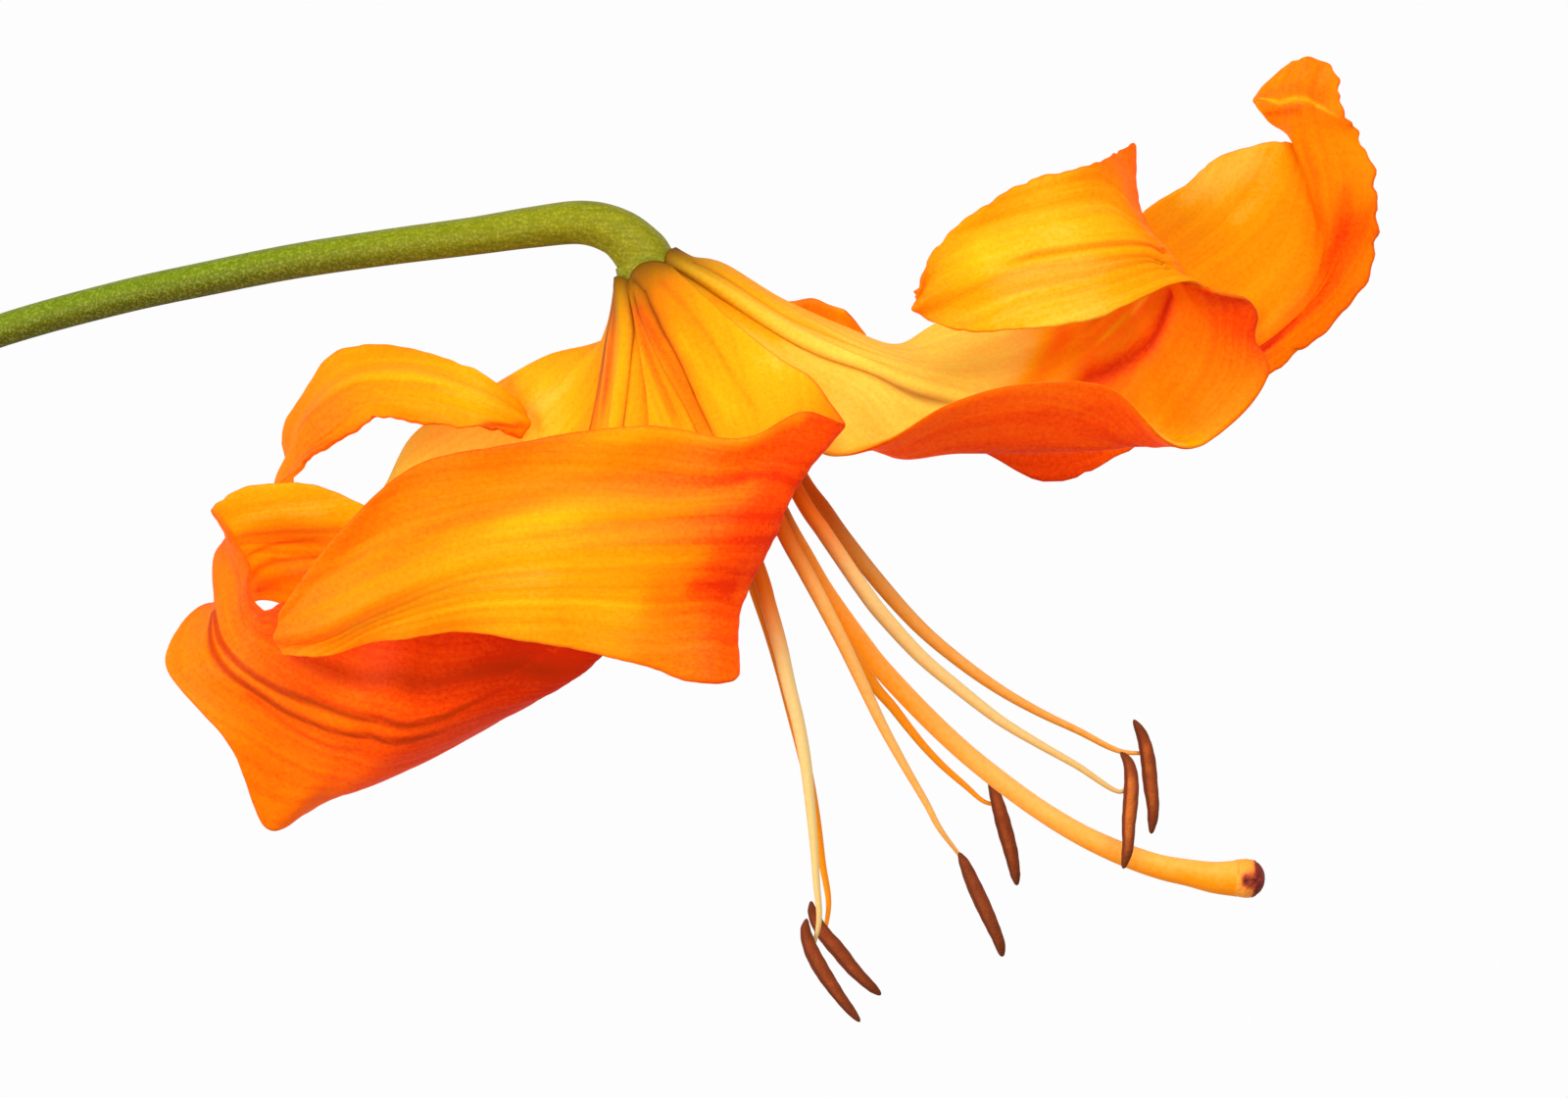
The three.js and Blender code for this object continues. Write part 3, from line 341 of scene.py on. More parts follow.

# Grooves, ridges, folds and streaks of a petal. A line goes through (station, v) points, where v is
# -1 at the left margin, 0 on the midrib and 1 at the right margin. Height in mm is outward, warm is
# added to the warmth, and the fifth field mixes in the groove brown and painted shade: brown lines in
# grooves, painted shade in folds, and painted shadow where a petal lies under or behind another one;
# width in mm is where they have fallen by e.
Mark = namedtuple("Mark", "face width height warm dark line")
MARKS = {
    "petal_outer_front": [
        # painted shade low in the funnel, near the foot
        Mark("outer", 2.2, 0.0, 0.0, 0.2, [(0.2, -0.4), (0.6, -0.4), (1.6, -0.3)]),
        Mark("outer", 0.36, -0.2, 0.05, 0.9, [(0.1, -0.6), (0.5, 0.0), (1, 0.14), (1.6, 0.12), (2.4, 0.05),
             (3.6, 0.05)]),
        Mark("outer", 0.4, -0.14, 0.05, 0.6, [(0.4, -0.7), (0.7, -0.6), (1.1, -0.38), (1.8, -0.34),
             (2.5, -0.17), (3.4, -0.1)]),
        Mark("outer", 0.7, 0.1, 0.18, 0.0, [(0.7, -0.4), (1.1, -0.12), (1.8, -0.1), (2.5, -0.06),
             (3.6, -0.03)]),
        Mark("outer", 0.9, 0.0, 0.2, 0.0, [(0.6, -0.75), (1.1, -0.7), (1.8, -0.62), (2.5, -0.45), (3, -0.4)]),
        Mark("outer", 0.3, -0.08, 0.08, 0.08, [(0.5, 0.5), (1.2, 0.65), (1.9, 0.59), (3, 0.51), (4, 0.5)]),
        Mark("outer", 0.5, 0.0, -0.08, 0.0, [(1.6, 0.3), (2.4, 0.3), (3.4, 0.3)]),
        Mark("inner", 0.6, -0.07, 0.08, 0.0, [(5.6, 0.03), (7.5, 0.0), (9, -0.02), (10.4, -0.01),
             (11.7, -0.06)]),
        Mark("inner", 2.4, 0.06, -0.18, 0.0, [(8.2, -0.5), (9, -0.45), (10, -0.45), (12.4, -0.42)]),
        Mark("inner", 1.8, 0.0, -0.2, 0.0, [(7.4, -0.13), (9.2, -0.2), (10.4, -0.16), (11, -0.1)]),
        Mark("inner", 1.4, 0.0, 0.12, 0.0, [(7.4, 0.5), (8.2, 0.52), (9, 0.55), (10, 0.4), (11, 0.3),
             (11.8, 0.3)]),
        Mark("inner", 1.0, 0.0, 0.2, 0.0, [(6.6, -0.33), (7.5, -0.34)]),
        Mark("inner", 1.1, 0.0, -0.32, 0.0, [(7, 0.97), (7.6, 0.97), (9.6, 0.97)]),
        Mark("inner", 1.4, 0.06, -0.08, 0.0, [(7, 0.35), (8.1, 0.36), (9.1, 0.3), (10.2, 0.16)]),
        Mark("inner", 0.5, -0.04, 0.1, 0.0, [(5.4, 0.2), (7, 0.17), (8.6, 0.16), (9.8, 0.1)]),
        Mark("inner", 0.5, -0.04, 0.1, 0.0, [(5.4, 0.5), (6.6, 0.52), (7.8, 0.6), (9, 0.66)]),
        Mark("inner", 0.45, -0.05, 0.12, 0.0, [(5.4, -0.24), (6.6, -0.22), (7.6, -0.18)]),
    ],
    "petal_inner_left": [
        # painted shadow along the left margin near the foot, where the next petal meets it
        Mark("outer", 0.9, 0.0, 0.05, 0.5, [(0.3, -0.85), (1, -0.8), (2.4, -0.72)]),
        Mark("outer", 0.4, -0.2, 0.0, 0.9, [(0.1, 0.75), (0.6, 0.65), (1.1, 0.61), (2, 0.24), (2.8, 0.1)]),
        Mark("outer", 0.34, -0.12, 0.0, 0.8, [(0.1, -0.3), (1.1, -0.66), (2, -0.5)]),
        Mark("outer", 0.7, 0.35, -0.1, 0.0, [(0.2, 0.3), (1.1, 0.3), (2, 0.0), (2.8, -0.1)]),
        Mark("outer", 0.6, 0.0, 0.3, 0.15, [(0.2, -0.1), (1.1, -0.25), (2, -0.28)]),
        Mark("inner", 0.3, -0.16, 0.15, 0.75, [(10.8, -0.3), (9.7, -0.26), (9.3, -0.21), (8.8, -0.17),
             (7.7, -0.09), (6.2, -0.04), (5, 0.0)]),
        Mark("inner", 0.3, -0.16, 0.15, 0.7, [(10.8, -0.1), (10.2, -0.1), (9.2, 0.01), (8.4, 0.06),
             (7, 0.07), (5.5, 0.11), (4.6, 0.3)]),
        Mark("inner", 0.6, 0.08, -0.06, 0.0, [(9.7, -0.13), (8.6, -0.04), (7, 0.02), (5.5, 0.05)]),
        Mark("inner", 0.3, -0.06, 0.08, 0.2, [(9.3, -0.3), (8.2, -0.24), (7, -0.2), (6, -0.18)]),
        # painted shadow where the front petal's limb lies over this one
        Mark("inner", 1.3, -0.06, 0.1, 0.36, [(8.9, 0.42), (8.1, 0.33), (7.1, 0.36), (5.8, 0.38),
             (4.6, 0.42), (4, 0.5)]),
        Mark("inner", 2.6, 0.0, 0.05, 0.12, [(5.2, 0.6), (4.6, 0.5), (4.2, 0.4)]),
        Mark("inner", 0.22, 0.08, -0.1, -0.25, [(4, 0.9), (4.6, 0.66), (4.8, 0.41), (5.1, 0.25)]),
        Mark("outer", 0.35, -0.08, 0.2, 0.15, [(12.4, -0.25), (12.9, -0.17), (14, 0.11), (15, 0.24)]),
        Mark("outer", 0.45, -0.08, 0.25, 0.25, [(12.6, -0.5), (13.6, -0.25), (14.3, -0.17), (15, -0.1)]),
        Mark("outer", 0.9, 0.0, 0.2, 0.1, [(12.8, -0.75), (13.8, -0.45), (14.8, -0.35)]),
        Mark("outer", 1.2, 0.0, -0.12, 0.0, [(13, 0.5), (14, 0.6), (15.3, 0.7)]),
    ],
    "petal_outer_left": [
        Mark("inner", 0.6, 0.06, -0.08, 0.0, [(8.6, 0.3), (9.6, 0.15), (10.7, 0.05), (12, 0.1)]),
        Mark("inner", 0.35, -0.06, 0.1, 0.0, [(8.6, 0.05), (9.6, -0.08), (10.7, -0.14), (12, -0.05)]),
        Mark("inner", 0.4, -0.1, 0.2, 0.5, [(12.2, -0.97), (12.7, -0.6), (12.95, 0.0)]),
        Mark("outer", 0.9, 0.0, -0.1, 0.0, [(1, 0.1), (2.2, 0.3), (3.2, 0.4)]),
    ],
    "petal_inner_back": [],
    "petal_inner_right": [
        Mark("outer", 0.4, -0.22, 0.1, 0.72, [(0.05, 0.88), (0.5, 0.61), (1.2, 0.46), (2, 0.36),
             (2.6, 0.29), (3.4, 0.18), (4.6, 0.1), (5.8, 0.07), (6.6, 0.05)]),
        Mark("outer", 0.6, 0.4, -0.1, 0.0, [(0.1, 0.5), (0.8, 0.28), (1.6, 0.18), (2.3, 0.12), (3.2, 0.05),
             (4.6, 0.0)]),
        Mark("outer", 0.4, -0.16, 0.12, 0.22, [(0.5, 0.0), (0.8, -0.14), (1.5, -0.22), (2.2, -0.17),
             (3.4, -0.24), (4.2, -0.22)]),
        Mark("outer", 0.4, -0.05, 0.12, 0.0, [(3.4, -0.05), (4.4, -0.08), (5.4, -0.06), (6.2, -0.02)]),
        Mark("outer", 1.0, -0.1, 0.16, 0.0, [(1.2, 0.62), (2, 0.5), (2.6, 0.42)]),
        Mark("outer", 0.65, -0.35, 0.4, 0.22, [(11.2, 0.1), (10.4, 0.13), (9.8, 0.15), (9, 0.14),
             (8.4, 0.12), (7.9, 0.09), (7.2, 0.1)]),
        Mark("outer", 1.5, 0.0, 0.35, 0.0, [(6.2, 0.1), (6.7, 0.0), (7.2, -0.2), (7.8, -0.45)]),
        Mark("outer", 0.22, 0.1, -0.35, 0.0, [(11, -0.04), (9.8, -0.03), (8.8, -0.05), (8, -0.06)]),
        Mark("outer", 0.3, -0.08, 0.06, 0.2, [(10.6, -0.16), (9.6, -0.17), (8.6, -0.2), (7.8, -0.22)]),
        Mark("outer", 1.3, 0.0, -0.16, 0.0, [(10.6, -0.45), (9.4, -0.5), (8.2, -0.5), (7.4, -0.5)]),
        Mark("inner", 0.3, -0.08, 0.3, 0.12, [(13.6, -0.05), (14.7, 0.0), (15.8, -0.02), (16.6, -0.01),
             (17.4, 0.03)]),
        Mark("inner", 0.9, 0.06, -0.08, 0.0, [(14.4, 0.22), (15.6, 0.22), (16.6, 0.2), (17.5, 0.2)]),
        Mark("inner", 0.9, 0.06, -0.06, 0.0, [(14.4, -0.25), (15.6, -0.25), (16.6, -0.25)]),
        Mark("inner", 0.3, -0.04, 0.05, 0.06, [(5.4, 0.82), (6.4, 0.8), (7.6, 0.82), (8.8, 0.86)]),
    ],
    "petal_outer_right": [
        Mark("inner", 3.0, -0.1, 0.28, 0.0, [(6.9, -0.5), (7.2, -0.4), (7.5, -0.38), (7.9, -0.38),
             (8.7, -0.36), (9.4, -0.5), (10, -0.6)]),
        Mark("inner", 1.3, -0.1, 0.3, 0.1, [(6.9, -0.5), (7.3, -0.38), (7.6, -0.3)]),
        Mark("inner", 0.9, -0.25, 0.1, 0.1, [(10.0, -0.45), (9.4, -0.36), (9.0, -0.25), (8.2, -0.04),
             (7.5, -0.05), (6.8, -0.09)]),
        Mark("inner", 0.5, 0.1, 0.08, 0.0, [(11, -0.07), (10.2, -0.12), (9.6, 0.0), (8.7, 0.14),
             (7.9, 0.15)]),
        Mark("inner", 0.25, 0.0, -0.35, 0.0, [(12.3, 0.85), (12, 0.4), (12.1, -0.2), (12, -0.6), (11.8, -1)]),
        Mark("inner", 0.5, 0.0, 0.1, 0.25, [(11.6, 0.85), (11.7, 0.4), (11.8, -0.2)]),
        Mark("inner", 1.3, 0.0, -0.16, 0.0, [(7, 0.95), (8, 0.88), (9, 0.86)]),
        Mark("inner", 0.8, 0.0, -0.12, 0.0, [(7.5, 0.6), (8.3, 0.62), (9, 0.7)]),
        # painted shadow where this petal comes out from under the right inner petal's limb
        Mark("inner", 1.0, -0.1, 0.1, 0.15, [(6.9, 0.1), (6.8, 0.0), (6.7, -0.3)]),
    ],
}


def linear(colour):
    """An sRGB hex colour as linear RGBA."""
    parts = [int(colour[i:i + 2], 16) / 255 for i in (1, 3, 5)]
    return (*[p / 12.92 if p <= 0.04045 else ((p + 0.055) / 1.055) ** 2.4 for p in parts], 1.0)


# ---------------------------------------------------------------------------------------------
# Curves and surfaces
# ---------------------------------------------------------------------------------------------
def catmull_rom(points, places):
    """Points of a Catmull-Rom curve: each is a cubic blend of the four given points round its place,
    where a place counts the given points from 0, and the ends are mirrored."""
    points = np.asarray(points, float)
    padded = np.concatenate([[2 * points[0] - points[1]], points, [2 * points[-1] - points[-2]]])
    first = np.clip(np.floor(places).astype(int), 0, len(points) - 2)
    t = (places - first).reshape((-1,) + (1,) * (points.ndim - 1))
    a, b, c, d = (padded[first + k] for k in range(4))
    return 0.5 * (2 * b + (c - a) * t + (2 * a - 5 * b + 4 * c - d) * t**2 + (3 * b - a - 3 * c + d) * t**3)


def unit(vectors):
    """The vectors at length 1."""
    return vectors / np.maximum(np.linalg.norm(vectors, axis=-1, keepdims=True), 1e-9)


def around_axis(along, radius, azimuth):
    """A point round the flower's axis: along the axis, out by the radius, turned by the azimuth."""
    angle = math.radians(azimuth)
    return AXIS * along + radius * (ACROSS * math.cos(angle) + UP * math.sin(angle))


def smooth(value, low, high):
    """0 below low, 1 above high, and 3s^2 - 2s^3 between them."""
    s = np.clip((value - low) / (high - low), 0, 1)
    return s * s * (3 - 2 * s)


def bump(value, width):
    """A bell of height 1: e to the minus (value / width) squared."""
    return np.exp(-(value / width) ** 2)


def turned(angle, place):
    """The angle from a place round a tube, between -pi and pi."""
    return np.angle(np.exp(1j * (angle - place)))


def laid_down(points):
    """Heights kept off the floor, and put on it where they come close."""
    points[..., 2] = np.where(points[..., 2] < FLOOR + PRESSED, FLOOR, points[..., 2])
    return points


def petal_rails(petal):
    """Stations by five rails (margin, shoulder, midrib, shoulder, margin). The foot is an arch on the
    ring. A missing shoulder is the middle of its half blade, pushed out by a share of its width."""
    turn = petal.leftward * FOOT_HALF_ANGLE[petal.name.split("_")[1]]
    foot = [around_axis(FOOT_MIDDLE + (FOOT_MARGIN - FOOT_MIDDLE) * side**2, RING_RADIUS,
                        petal.azimuth + side * turn) for side in (1, 0.5, 0, -0.5, -1)]
    stations = [foot] + [[np.array(p, float) for p in station] for station in petal.stations]
    middles = np.array([station[len(station) // 2] for station in stations])
    rails = []
    for i, station in enumerate(stations):
        if len(station) == 3:
            left, middle, right = station
            along = middles[min(i + 1, len(middles) - 1)] - middles[max(i - 1, 0)]
            bow = HALF_BOW * petal.leftward * unit(np.cross(along, right - left))
            left_shoulder = (left + middle) / 2 + bow * np.linalg.norm(left - middle)
            right_shoulder = (right + middle) / 2 + bow * np.linalg.norm(right - middle)
            station = [left, left_shoulder, middle, right_shoulder, right]
        rails.append(station)
    return np.array(rails)


def surface_normals(grid):
    """Unit normals of a grid: its slope along crossed with its slope across."""
    return unit(np.cross(np.gradient(grid, axis=0), np.gradient(grid, axis=1)))


def line_strength(mark, known):
    """How strongly a mark is felt over the blade laid flat: a bell of the distance to its line, which
    fades over the last quarter of the line."""
    run, across, station = known["run"], known["across"], known["station"][:, 0]
    places = np.array(mark.line, float)
    points = np.stack([np.interp(places[:, 0], station, run[:, 0]),
                       places[:, 1] * np.interp(places[:, 0], station, known["half"][:, 0])], -1)
    near = np.full(across.shape, 1e9)
    passed = np.zeros(across.shape)
    steps = np.linalg.norm(np.diff(points, axis=0), axis=1)
    behind = 0.0
    for start, end, step in zip(points[:-1], points[1:], steps):
        way = (end - start) / max(step, 1e-6)
        ahead = np.clip((run - start[0]) * way[0] + (across - start[1]) * way[1], 0, step)
        distance = np.hypot(run - start[0] - ahead * way[0], across - start[1] - ahead * way[1])
        passed = np.where(distance < near, behind + ahead, passed)
        near = np.minimum(near, distance)
        behind += step
    return bump(near, mark.width) * (1 - smooth(passed, 0.75 * behind, behind))


def petal_blade(petal, settings):
    """The smooth middle surface of a petal over u (0 at the foot, 1 at the tip) and v (-1 left, 1
    right): a Catmull-Rom curve across the five rails, whose points are Catmull-Rom curves down the
    rails. Gives the grid and what is known at its points: u, v as side, the station, the distances
    run down the midrib and across from it, and the half blade's width."""
    rails = petal_rails(petal)
    rows = (len(rails) - 1) * settings.rows_per_station
    u = np.linspace(0, 1, rows + 1)
    t = np.linspace(-1, 1, settings.columns + 1)
    v = (1 - CROWDING) * t + CROWDING * np.sin(math.pi / 2 * t)
    down = catmull_rom(rails, u * (len(rails) - 1))
    grid = np.swapaxes(catmull_rom(np.swapaxes(down, 0, 1), (v + 1) * 2), 0, 1)
    steps = np.linalg.norm(np.diff(grid[:, settings.columns // 2], axis=0), axis=1)
    run = np.concatenate([[0], np.cumsum(steps)])[:, None] + 0 * v[None, :]
    half = np.linalg.norm(grid[:, -1] - grid[:, 0], axis=1)[:, None] / 2 + 0 * v[None, :]
    side = v[None, :] + 0 * run
    return grid, {"u": u[:, None] + 0 * run, "side": side, "run": run, "across": side * half,
                  "half": half, "station": u[:, None] * (len(rails) - 1) + 0 * run}


def petal_relief(petal, known, settings):
    """How far a petal's skin stands out: fine veins cos(across) that die out at |v|^4, a slow swell
    that leaves the margins where they are, and its marks' grooves and ridges."""
    u, side, run, edge = known["u"], known["side"], known["run"], np.abs(known["side"])
    relief = 0.0 * run
    fade = smooth(u, 0.0, 0.1) * (1 - smooth(u, 0.93, 1.0))
    for height, spacing, waver, drift in VEINS:
        wavering = waver * np.sin(run / drift + waver * petal.phase)
        relief += fade * height * np.cos(known["across"] * 2 * math.pi / spacing + wavering) * (1 - edge**4)
    swell = np.sin(run / 8.5 + 2.3 * side + petal.phase) * np.sin(2.1 * side + run / 13)
    relief += smooth(u, 0.3, 0.5) * SWELL_HEIGHT * swell * edge * (1 - edge**2)
    for mark, strength in zip(MARKS[petal.name], known["felt"]):
        relief += settings.groove_depth * mark.height * strength
    return relief


def petal_surface(petal, settings):
    """A petal's middle surface with its fine shape, and what is known at its points. Along its normal
    the blade carries its relief and ruffles by |v|^3 sin(run). Then the margins are frilled along the
    blade by |v|^14 times rounded scallops, |sin(run)|^0.7, with smaller teeth on them. Ruffles and
    frills begin at about 40% of the length."""
    grid, known = petal_blade(petal, settings)
    side, run, edge = known["side"], known["run"], np.abs(known["side"])
    known["felt"] = [line_strength(mark, known) for mark in MARKS[petal.name]]
    grown = smooth(known["u"], 0.3, 0.5)
    shift = petal.phase + np.where(side > 0, RIGHT_MARGIN_SHIFT, 0.0)
    wave = np.sin(2 * math.pi * run / (settings.ruffle_length / MM) + shift)
    ruffle = grown * settings.ruffle_height / MM * edge**3 * wave
    relief = petal_relief(petal, known, settings)
    grid = grid + surface_normals(grid) * (ruffle + petal.leftward * relief)[..., None]
    left_frill, right_frill, pitch = petal.frill
    depth = grown * settings.frill * np.where(side < 0, left_frill, right_frill)
    wobble = shift + 1.3 * np.sin(run / 6.1 + petal.phase) + 0.7 * np.sin(run / 2.7)
    scallops = np.abs(np.sin(math.pi * run / pitch + wobble)) ** 0.7 - 0.68
    teeth = scallops + 0.2 * np.sin(run * 2.9 + 3 * petal.phase + shift)
    rim = unit(np.gradient(grid, axis=1)) * np.sign(side)[..., None]
    return grid + rim * (depth * edge**14 * teeth)[..., None], known


def spread(rows, station, side):
    """A quantity given down the petal at left margin, midrib and right margin: linear between the
    stations, then from the midrib to the margin by |v| to the power 1.4."""
    table = np.array(rows)
    left, middle, right = (np.interp(station, table[:, 0], table[:, k]) for k in (1, 2, 3))
    return middle + (np.where(side < 0, left, right) - middle) * np.abs(side) ** 1.4


def skin_values(petal, known):
    """Warmth, groove brown and painted shade, foot brown and painted shade, and rim of both faces, first
    of the outer one and then of the inner one. The foot's value is the brown of the foot together with
    painted shade deep in the funnel: it falls by e every 4.3 mm, and a trace of it runs on along the
    midrib to 13 mm. The rim is the outermost 3% of a half blade."""
    side, run = known["side"], known["run"]
    values = {"warmth": [], "dark": [], "stain": [], "rim": []}
    # brown of the foot with painted shade, darkest where the funnel is deepest
    foot = 0.95 * np.exp(-run / 4.3) + 0.15 * bump(known["across"], 1.3) * (1 - smooth(run, 3, 13))
    for face in ("outer", "inner"):
        warmth = spread(WARMTH[petal.name][face], known["station"], side)
        dark = 0.0 * run
        for mark, strength in zip(MARKS[petal.name], known["felt"]):
            if mark.face == face:
                warmth = warmth + mark.warm * strength
                dark = dark + mark.dark * strength
        values["warmth"].append(warmth.ravel())
        values["dark"].append(np.clip(dark, 0, 1).ravel())
        values["stain"].append(np.clip(foot, 0, 1).ravel())
        values["rim"].append(smooth(np.abs(side), 0.97, 0.995).ravel())
    return {key: np.concatenate(value) for key, value in values.items()}


def grid_faces(rows, columns, start=0, flip=False):
    """Quads of a grid of rows by columns of points, numbered from start."""
    index = start + np.arange(rows * columns).reshape(rows, columns)
    quads = np.stack([index[:-1, :-1], index[1:, :-1], index[1:, 1:], index[:-1, 1:]], -1).reshape(-1, 4)
    return quads[:, ::-1] if flip else quads


def rim_faces(rows, columns):
    """Quads that join the edges of two like grids, the second one numbered after the first."""
    index = np.arange(rows * columns).reshape(rows, columns)
    loop = np.concatenate([index[:-1, 0], index[-1, :-1], index[:0:-1, -1], index[0, :0:-1]])
    after = np.roll(loop, -1)
    size = rows * columns
    return np.stack([after, loop, size + loop, size + after], -1)


def sheet(petal, settings):
    """A petal's closed skin: its middle surface moved out and in by half the thickness, which falls
    from the midrib to the margin and closes at the very edge."""
    grid, known = petal_surface(petal, settings)
    edge, u = np.abs(known["side"]), known["u"]
    margin = settings.margin_thickness / MM
    half = 0.5 * (MIDRIB_THICKNESS + (margin - MIDRIB_THICKNESS) * np.minimum(1, 1.6 * edge))
    grid[..., 2] = np.maximum(grid[..., 2], FLOOR + half)
    close = np.sqrt(np.maximum(1 - edge**80, 0.05)) * np.sqrt(np.maximum(1 - u**150, 0.05))
    outward = petal.leftward * surface_normals(grid) * (half * close)[..., None]
    faces = [laid_down(grid + outward), laid_down(grid - outward)]
    rows, columns = u.shape
    quads = np.concatenate([grid_faces(rows, columns), grid_faces(rows, columns, rows * columns, True),
                            rim_faces(rows, columns)])
    if petal.leftward < 0:
        quads = quads[:, ::-1]
    flat = np.stack([known["run"] / 100, known["across"] / 100], -1).reshape(-1, 2)
    points = np.concatenate([face.reshape(-1, 3) for face in faces])
    return points, quads, skin_values(petal, known), np.tile(flat, (2, 1))


def tube(path, radii, mesh_size, shape=None, from_tip=False):
    """A closed tube: a circle carried along a Catmull-Rom path over s, 0 to 1. Its radius is read
    from evenly spaced radii, or from (distance from the tip, radius) rows, and multiplied by
    shape(s, angle). The rings keep one direction level. Gives the points, the share of the length
    and the angle of each."""
    rings, sides = mesh_size
    s = np.linspace(0, 1, rings)
    centre = catmull_rom(path, s * (len(path) - 1))
    steps = np.linalg.norm(np.diff(centre, axis=0), axis=1)
    left_over = steps.sum() - np.concatenate([[0], np.cumsum(steps)])
    if from_tip:
        radius = np.interp(left_over, *np.array(radii, float).T)[:, None]
    else:
        radius = np.interp(s, np.linspace(0, 1, len(radii)), radii)[:, None]
    share = (1 - left_over / steps.sum())[:, None]
    along = unit(np.gradient(centre, axis=0))
    level = unit(np.cross(along, UP))
    up = np.cross(level, along)
    angle = np.linspace(0, 2 * math.pi, sides, endpoint=False)[None, :]
    if shape is not None:
        radius = radius * shape(s[:, None], angle)
    ring = level[:, None] * np.cos(angle)[..., None] + up[:, None] * np.sin(angle)[..., None]
    points = centre[:, None] + ring * (radius + 0 * angle)[..., None]
    return points, share + 0 * angle, angle + 0 * share


def tube_faces(rings, sides):
    """Quads round a tube, closed on themselves; its ends are filled by close_ends."""
    index = np.arange(rings * sides).reshape(rings, sides)
    after = np.roll(index, -1, axis=1)
    return np.stack([index[:-1], index[1:], after[1:], after[:-1]], -1).reshape(-1, 4)


def stem_shape(s, angle, depth):
    """Six faint ridges along the stem, 1 + depth sin(6 angle), which start behind the cut end."""
    return 1 + depth * np.sin(6 * angle) * smooth(s, 0.0, 0.05)


def style_shape(s, angle):
    """A style with three faint sides: 1 + 0.03 cos(3 angle)."""
    return 1 + 0.03 * np.cos(3 * angle)


def anther_groove(angle):
    """How deep in the groove between an anther's two lobes a place is: a bell of the angle."""
    return bump(turned(angle, 0.6), 0.3)


def anther_shape(s, angle, depth, number):
    """An anther's section: round ends, sqrt(1 - (2s - 1)^30), less its groove, with small lumps of
    sin(23s + 3 angle) sin(31s + 5 angle) that differ from one anther to the next."""
    dome = np.sqrt(np.clip(1 - (2 * s - 1) ** 30, 0.0, 1))
    lumps = 0.04 * np.sin(23 * s + 3 * angle + number) * np.sin(5 * angle + 31 * s)
    return dome * (1 - depth * anther_groove(angle) + lumps)


def stigma_crease(s, angle):
    """How deep in one of the stigma's three creases a place is: a bell of the angle from the nearest
    one, which widens towards the end. One of them faces up."""
    nearest = np.arcsin(np.sin(1.5 * (angle - 1.45))) / 1.5
    return bump(nearest, 0.22 + 0.5 * s) * smooth(s, 0.1, 0.3)


def stigma_velvetiness(s, angle):
    """Where the stigma is velvety: in its creases, and over the whole end."""
    return np.maximum(stigma_crease(s, angle), smooth(s, 0.5, 0.7))


def stigma_shape(s, angle, depth):
    """The stigma's section: a dome, sqrt(1 - r^2.4) over its last 0.7, less its creases, which run
    out at the end, and ragged by sin(19 angle) sin(43s) where it is velvety."""
    dome = np.sqrt(np.clip(1 - np.clip((s - 0.3) / 0.7, 0, 1) ** 2.4, 0, 1))
    ragged = np.sin(19 * angle + 3 * np.sin(31 * s)) * np.sin(43 * s + 2 * np.sin(7 * angle))
    creased = 1 - depth * stigma_crease(s, angle) * (1 - s)
    return dome * (creased + 0.06 * ragged * stigma_velvetiness(s, angle))


# ---------------------------------------------------------------------------------------------
# Meshes
# ---------------------------------------------------------------------------------------------
def add_piece(name, points, quads, values, uv, material, node):
    """A mesh object from arrays, which stands for one CAD node and rides on the root body."""
    mesh = bpy.data.meshes.new(name)
    mesh.vertices.add(len(points))
    mesh.vertices.foreach_set("co", ((points + RECEPTACLE) * MM).ravel())
    mesh.loops.add(quads.size)
    mesh.loops.foreach_set("vertex_index", quads.ravel().astype(np.int32))
    mesh.polygons.add(len(quads))
    mesh.polygons.foreach_set("loop_start", np.arange(0, quads.size, 4, dtype=np.int32))
    mesh.polygons.foreach_set("loop_total", np.full(len(quads), 4, dtype=np.int32))
    mesh.update(calc_edges=True)
    for key, value in values.items():
        mesh.attributes.new(key, "FLOAT", "POINT").data.foreach_set("value", value.astype(np.float32))
    if uv is not None:
        layer = mesh.uv_layers.new(name="blade")
        layer.data.foreach_set("uv", uv[quads.ravel()].ravel().astype(np.float32))
    close_ends(mesh)
    mesh.shade_smooth()
    mesh.materials.append(material)
    piece = bpy.data.objects.new(name, mesh)
    bpy.context.scene.collection.objects.link(piece)
    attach(piece, "root")
    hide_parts(node)


def add_tube(name, points, values, material, node):
    """A tube's piece, from its rings of points and what is known at each of them."""
    values = {key: value.ravel() for key, value in values.items()}
    add_piece(name, points.reshape(-1, 3), tube_faces(*points.shape[:2]), values, None, material, node)


def close_ends(mesh):
    """Merges points that coincide and fills what is still open, such as a tube's two ends."""
    edit = bmesh.new()
    edit.from_mesh(mesh)
    bmesh.ops.remove_doubles(edit, verts=edit.verts, dist=1e-7)
    open_edges = [e for e in edit.edges if e.is_boundary]
    if open_edges:
        bmesh.ops.holes_fill(edit, edges=open_edges, sides=0)
        bmesh.ops.recalc_face_normals(edit, faces=edit.faces)
    edit.to_mesh(mesh)
    edit.free()


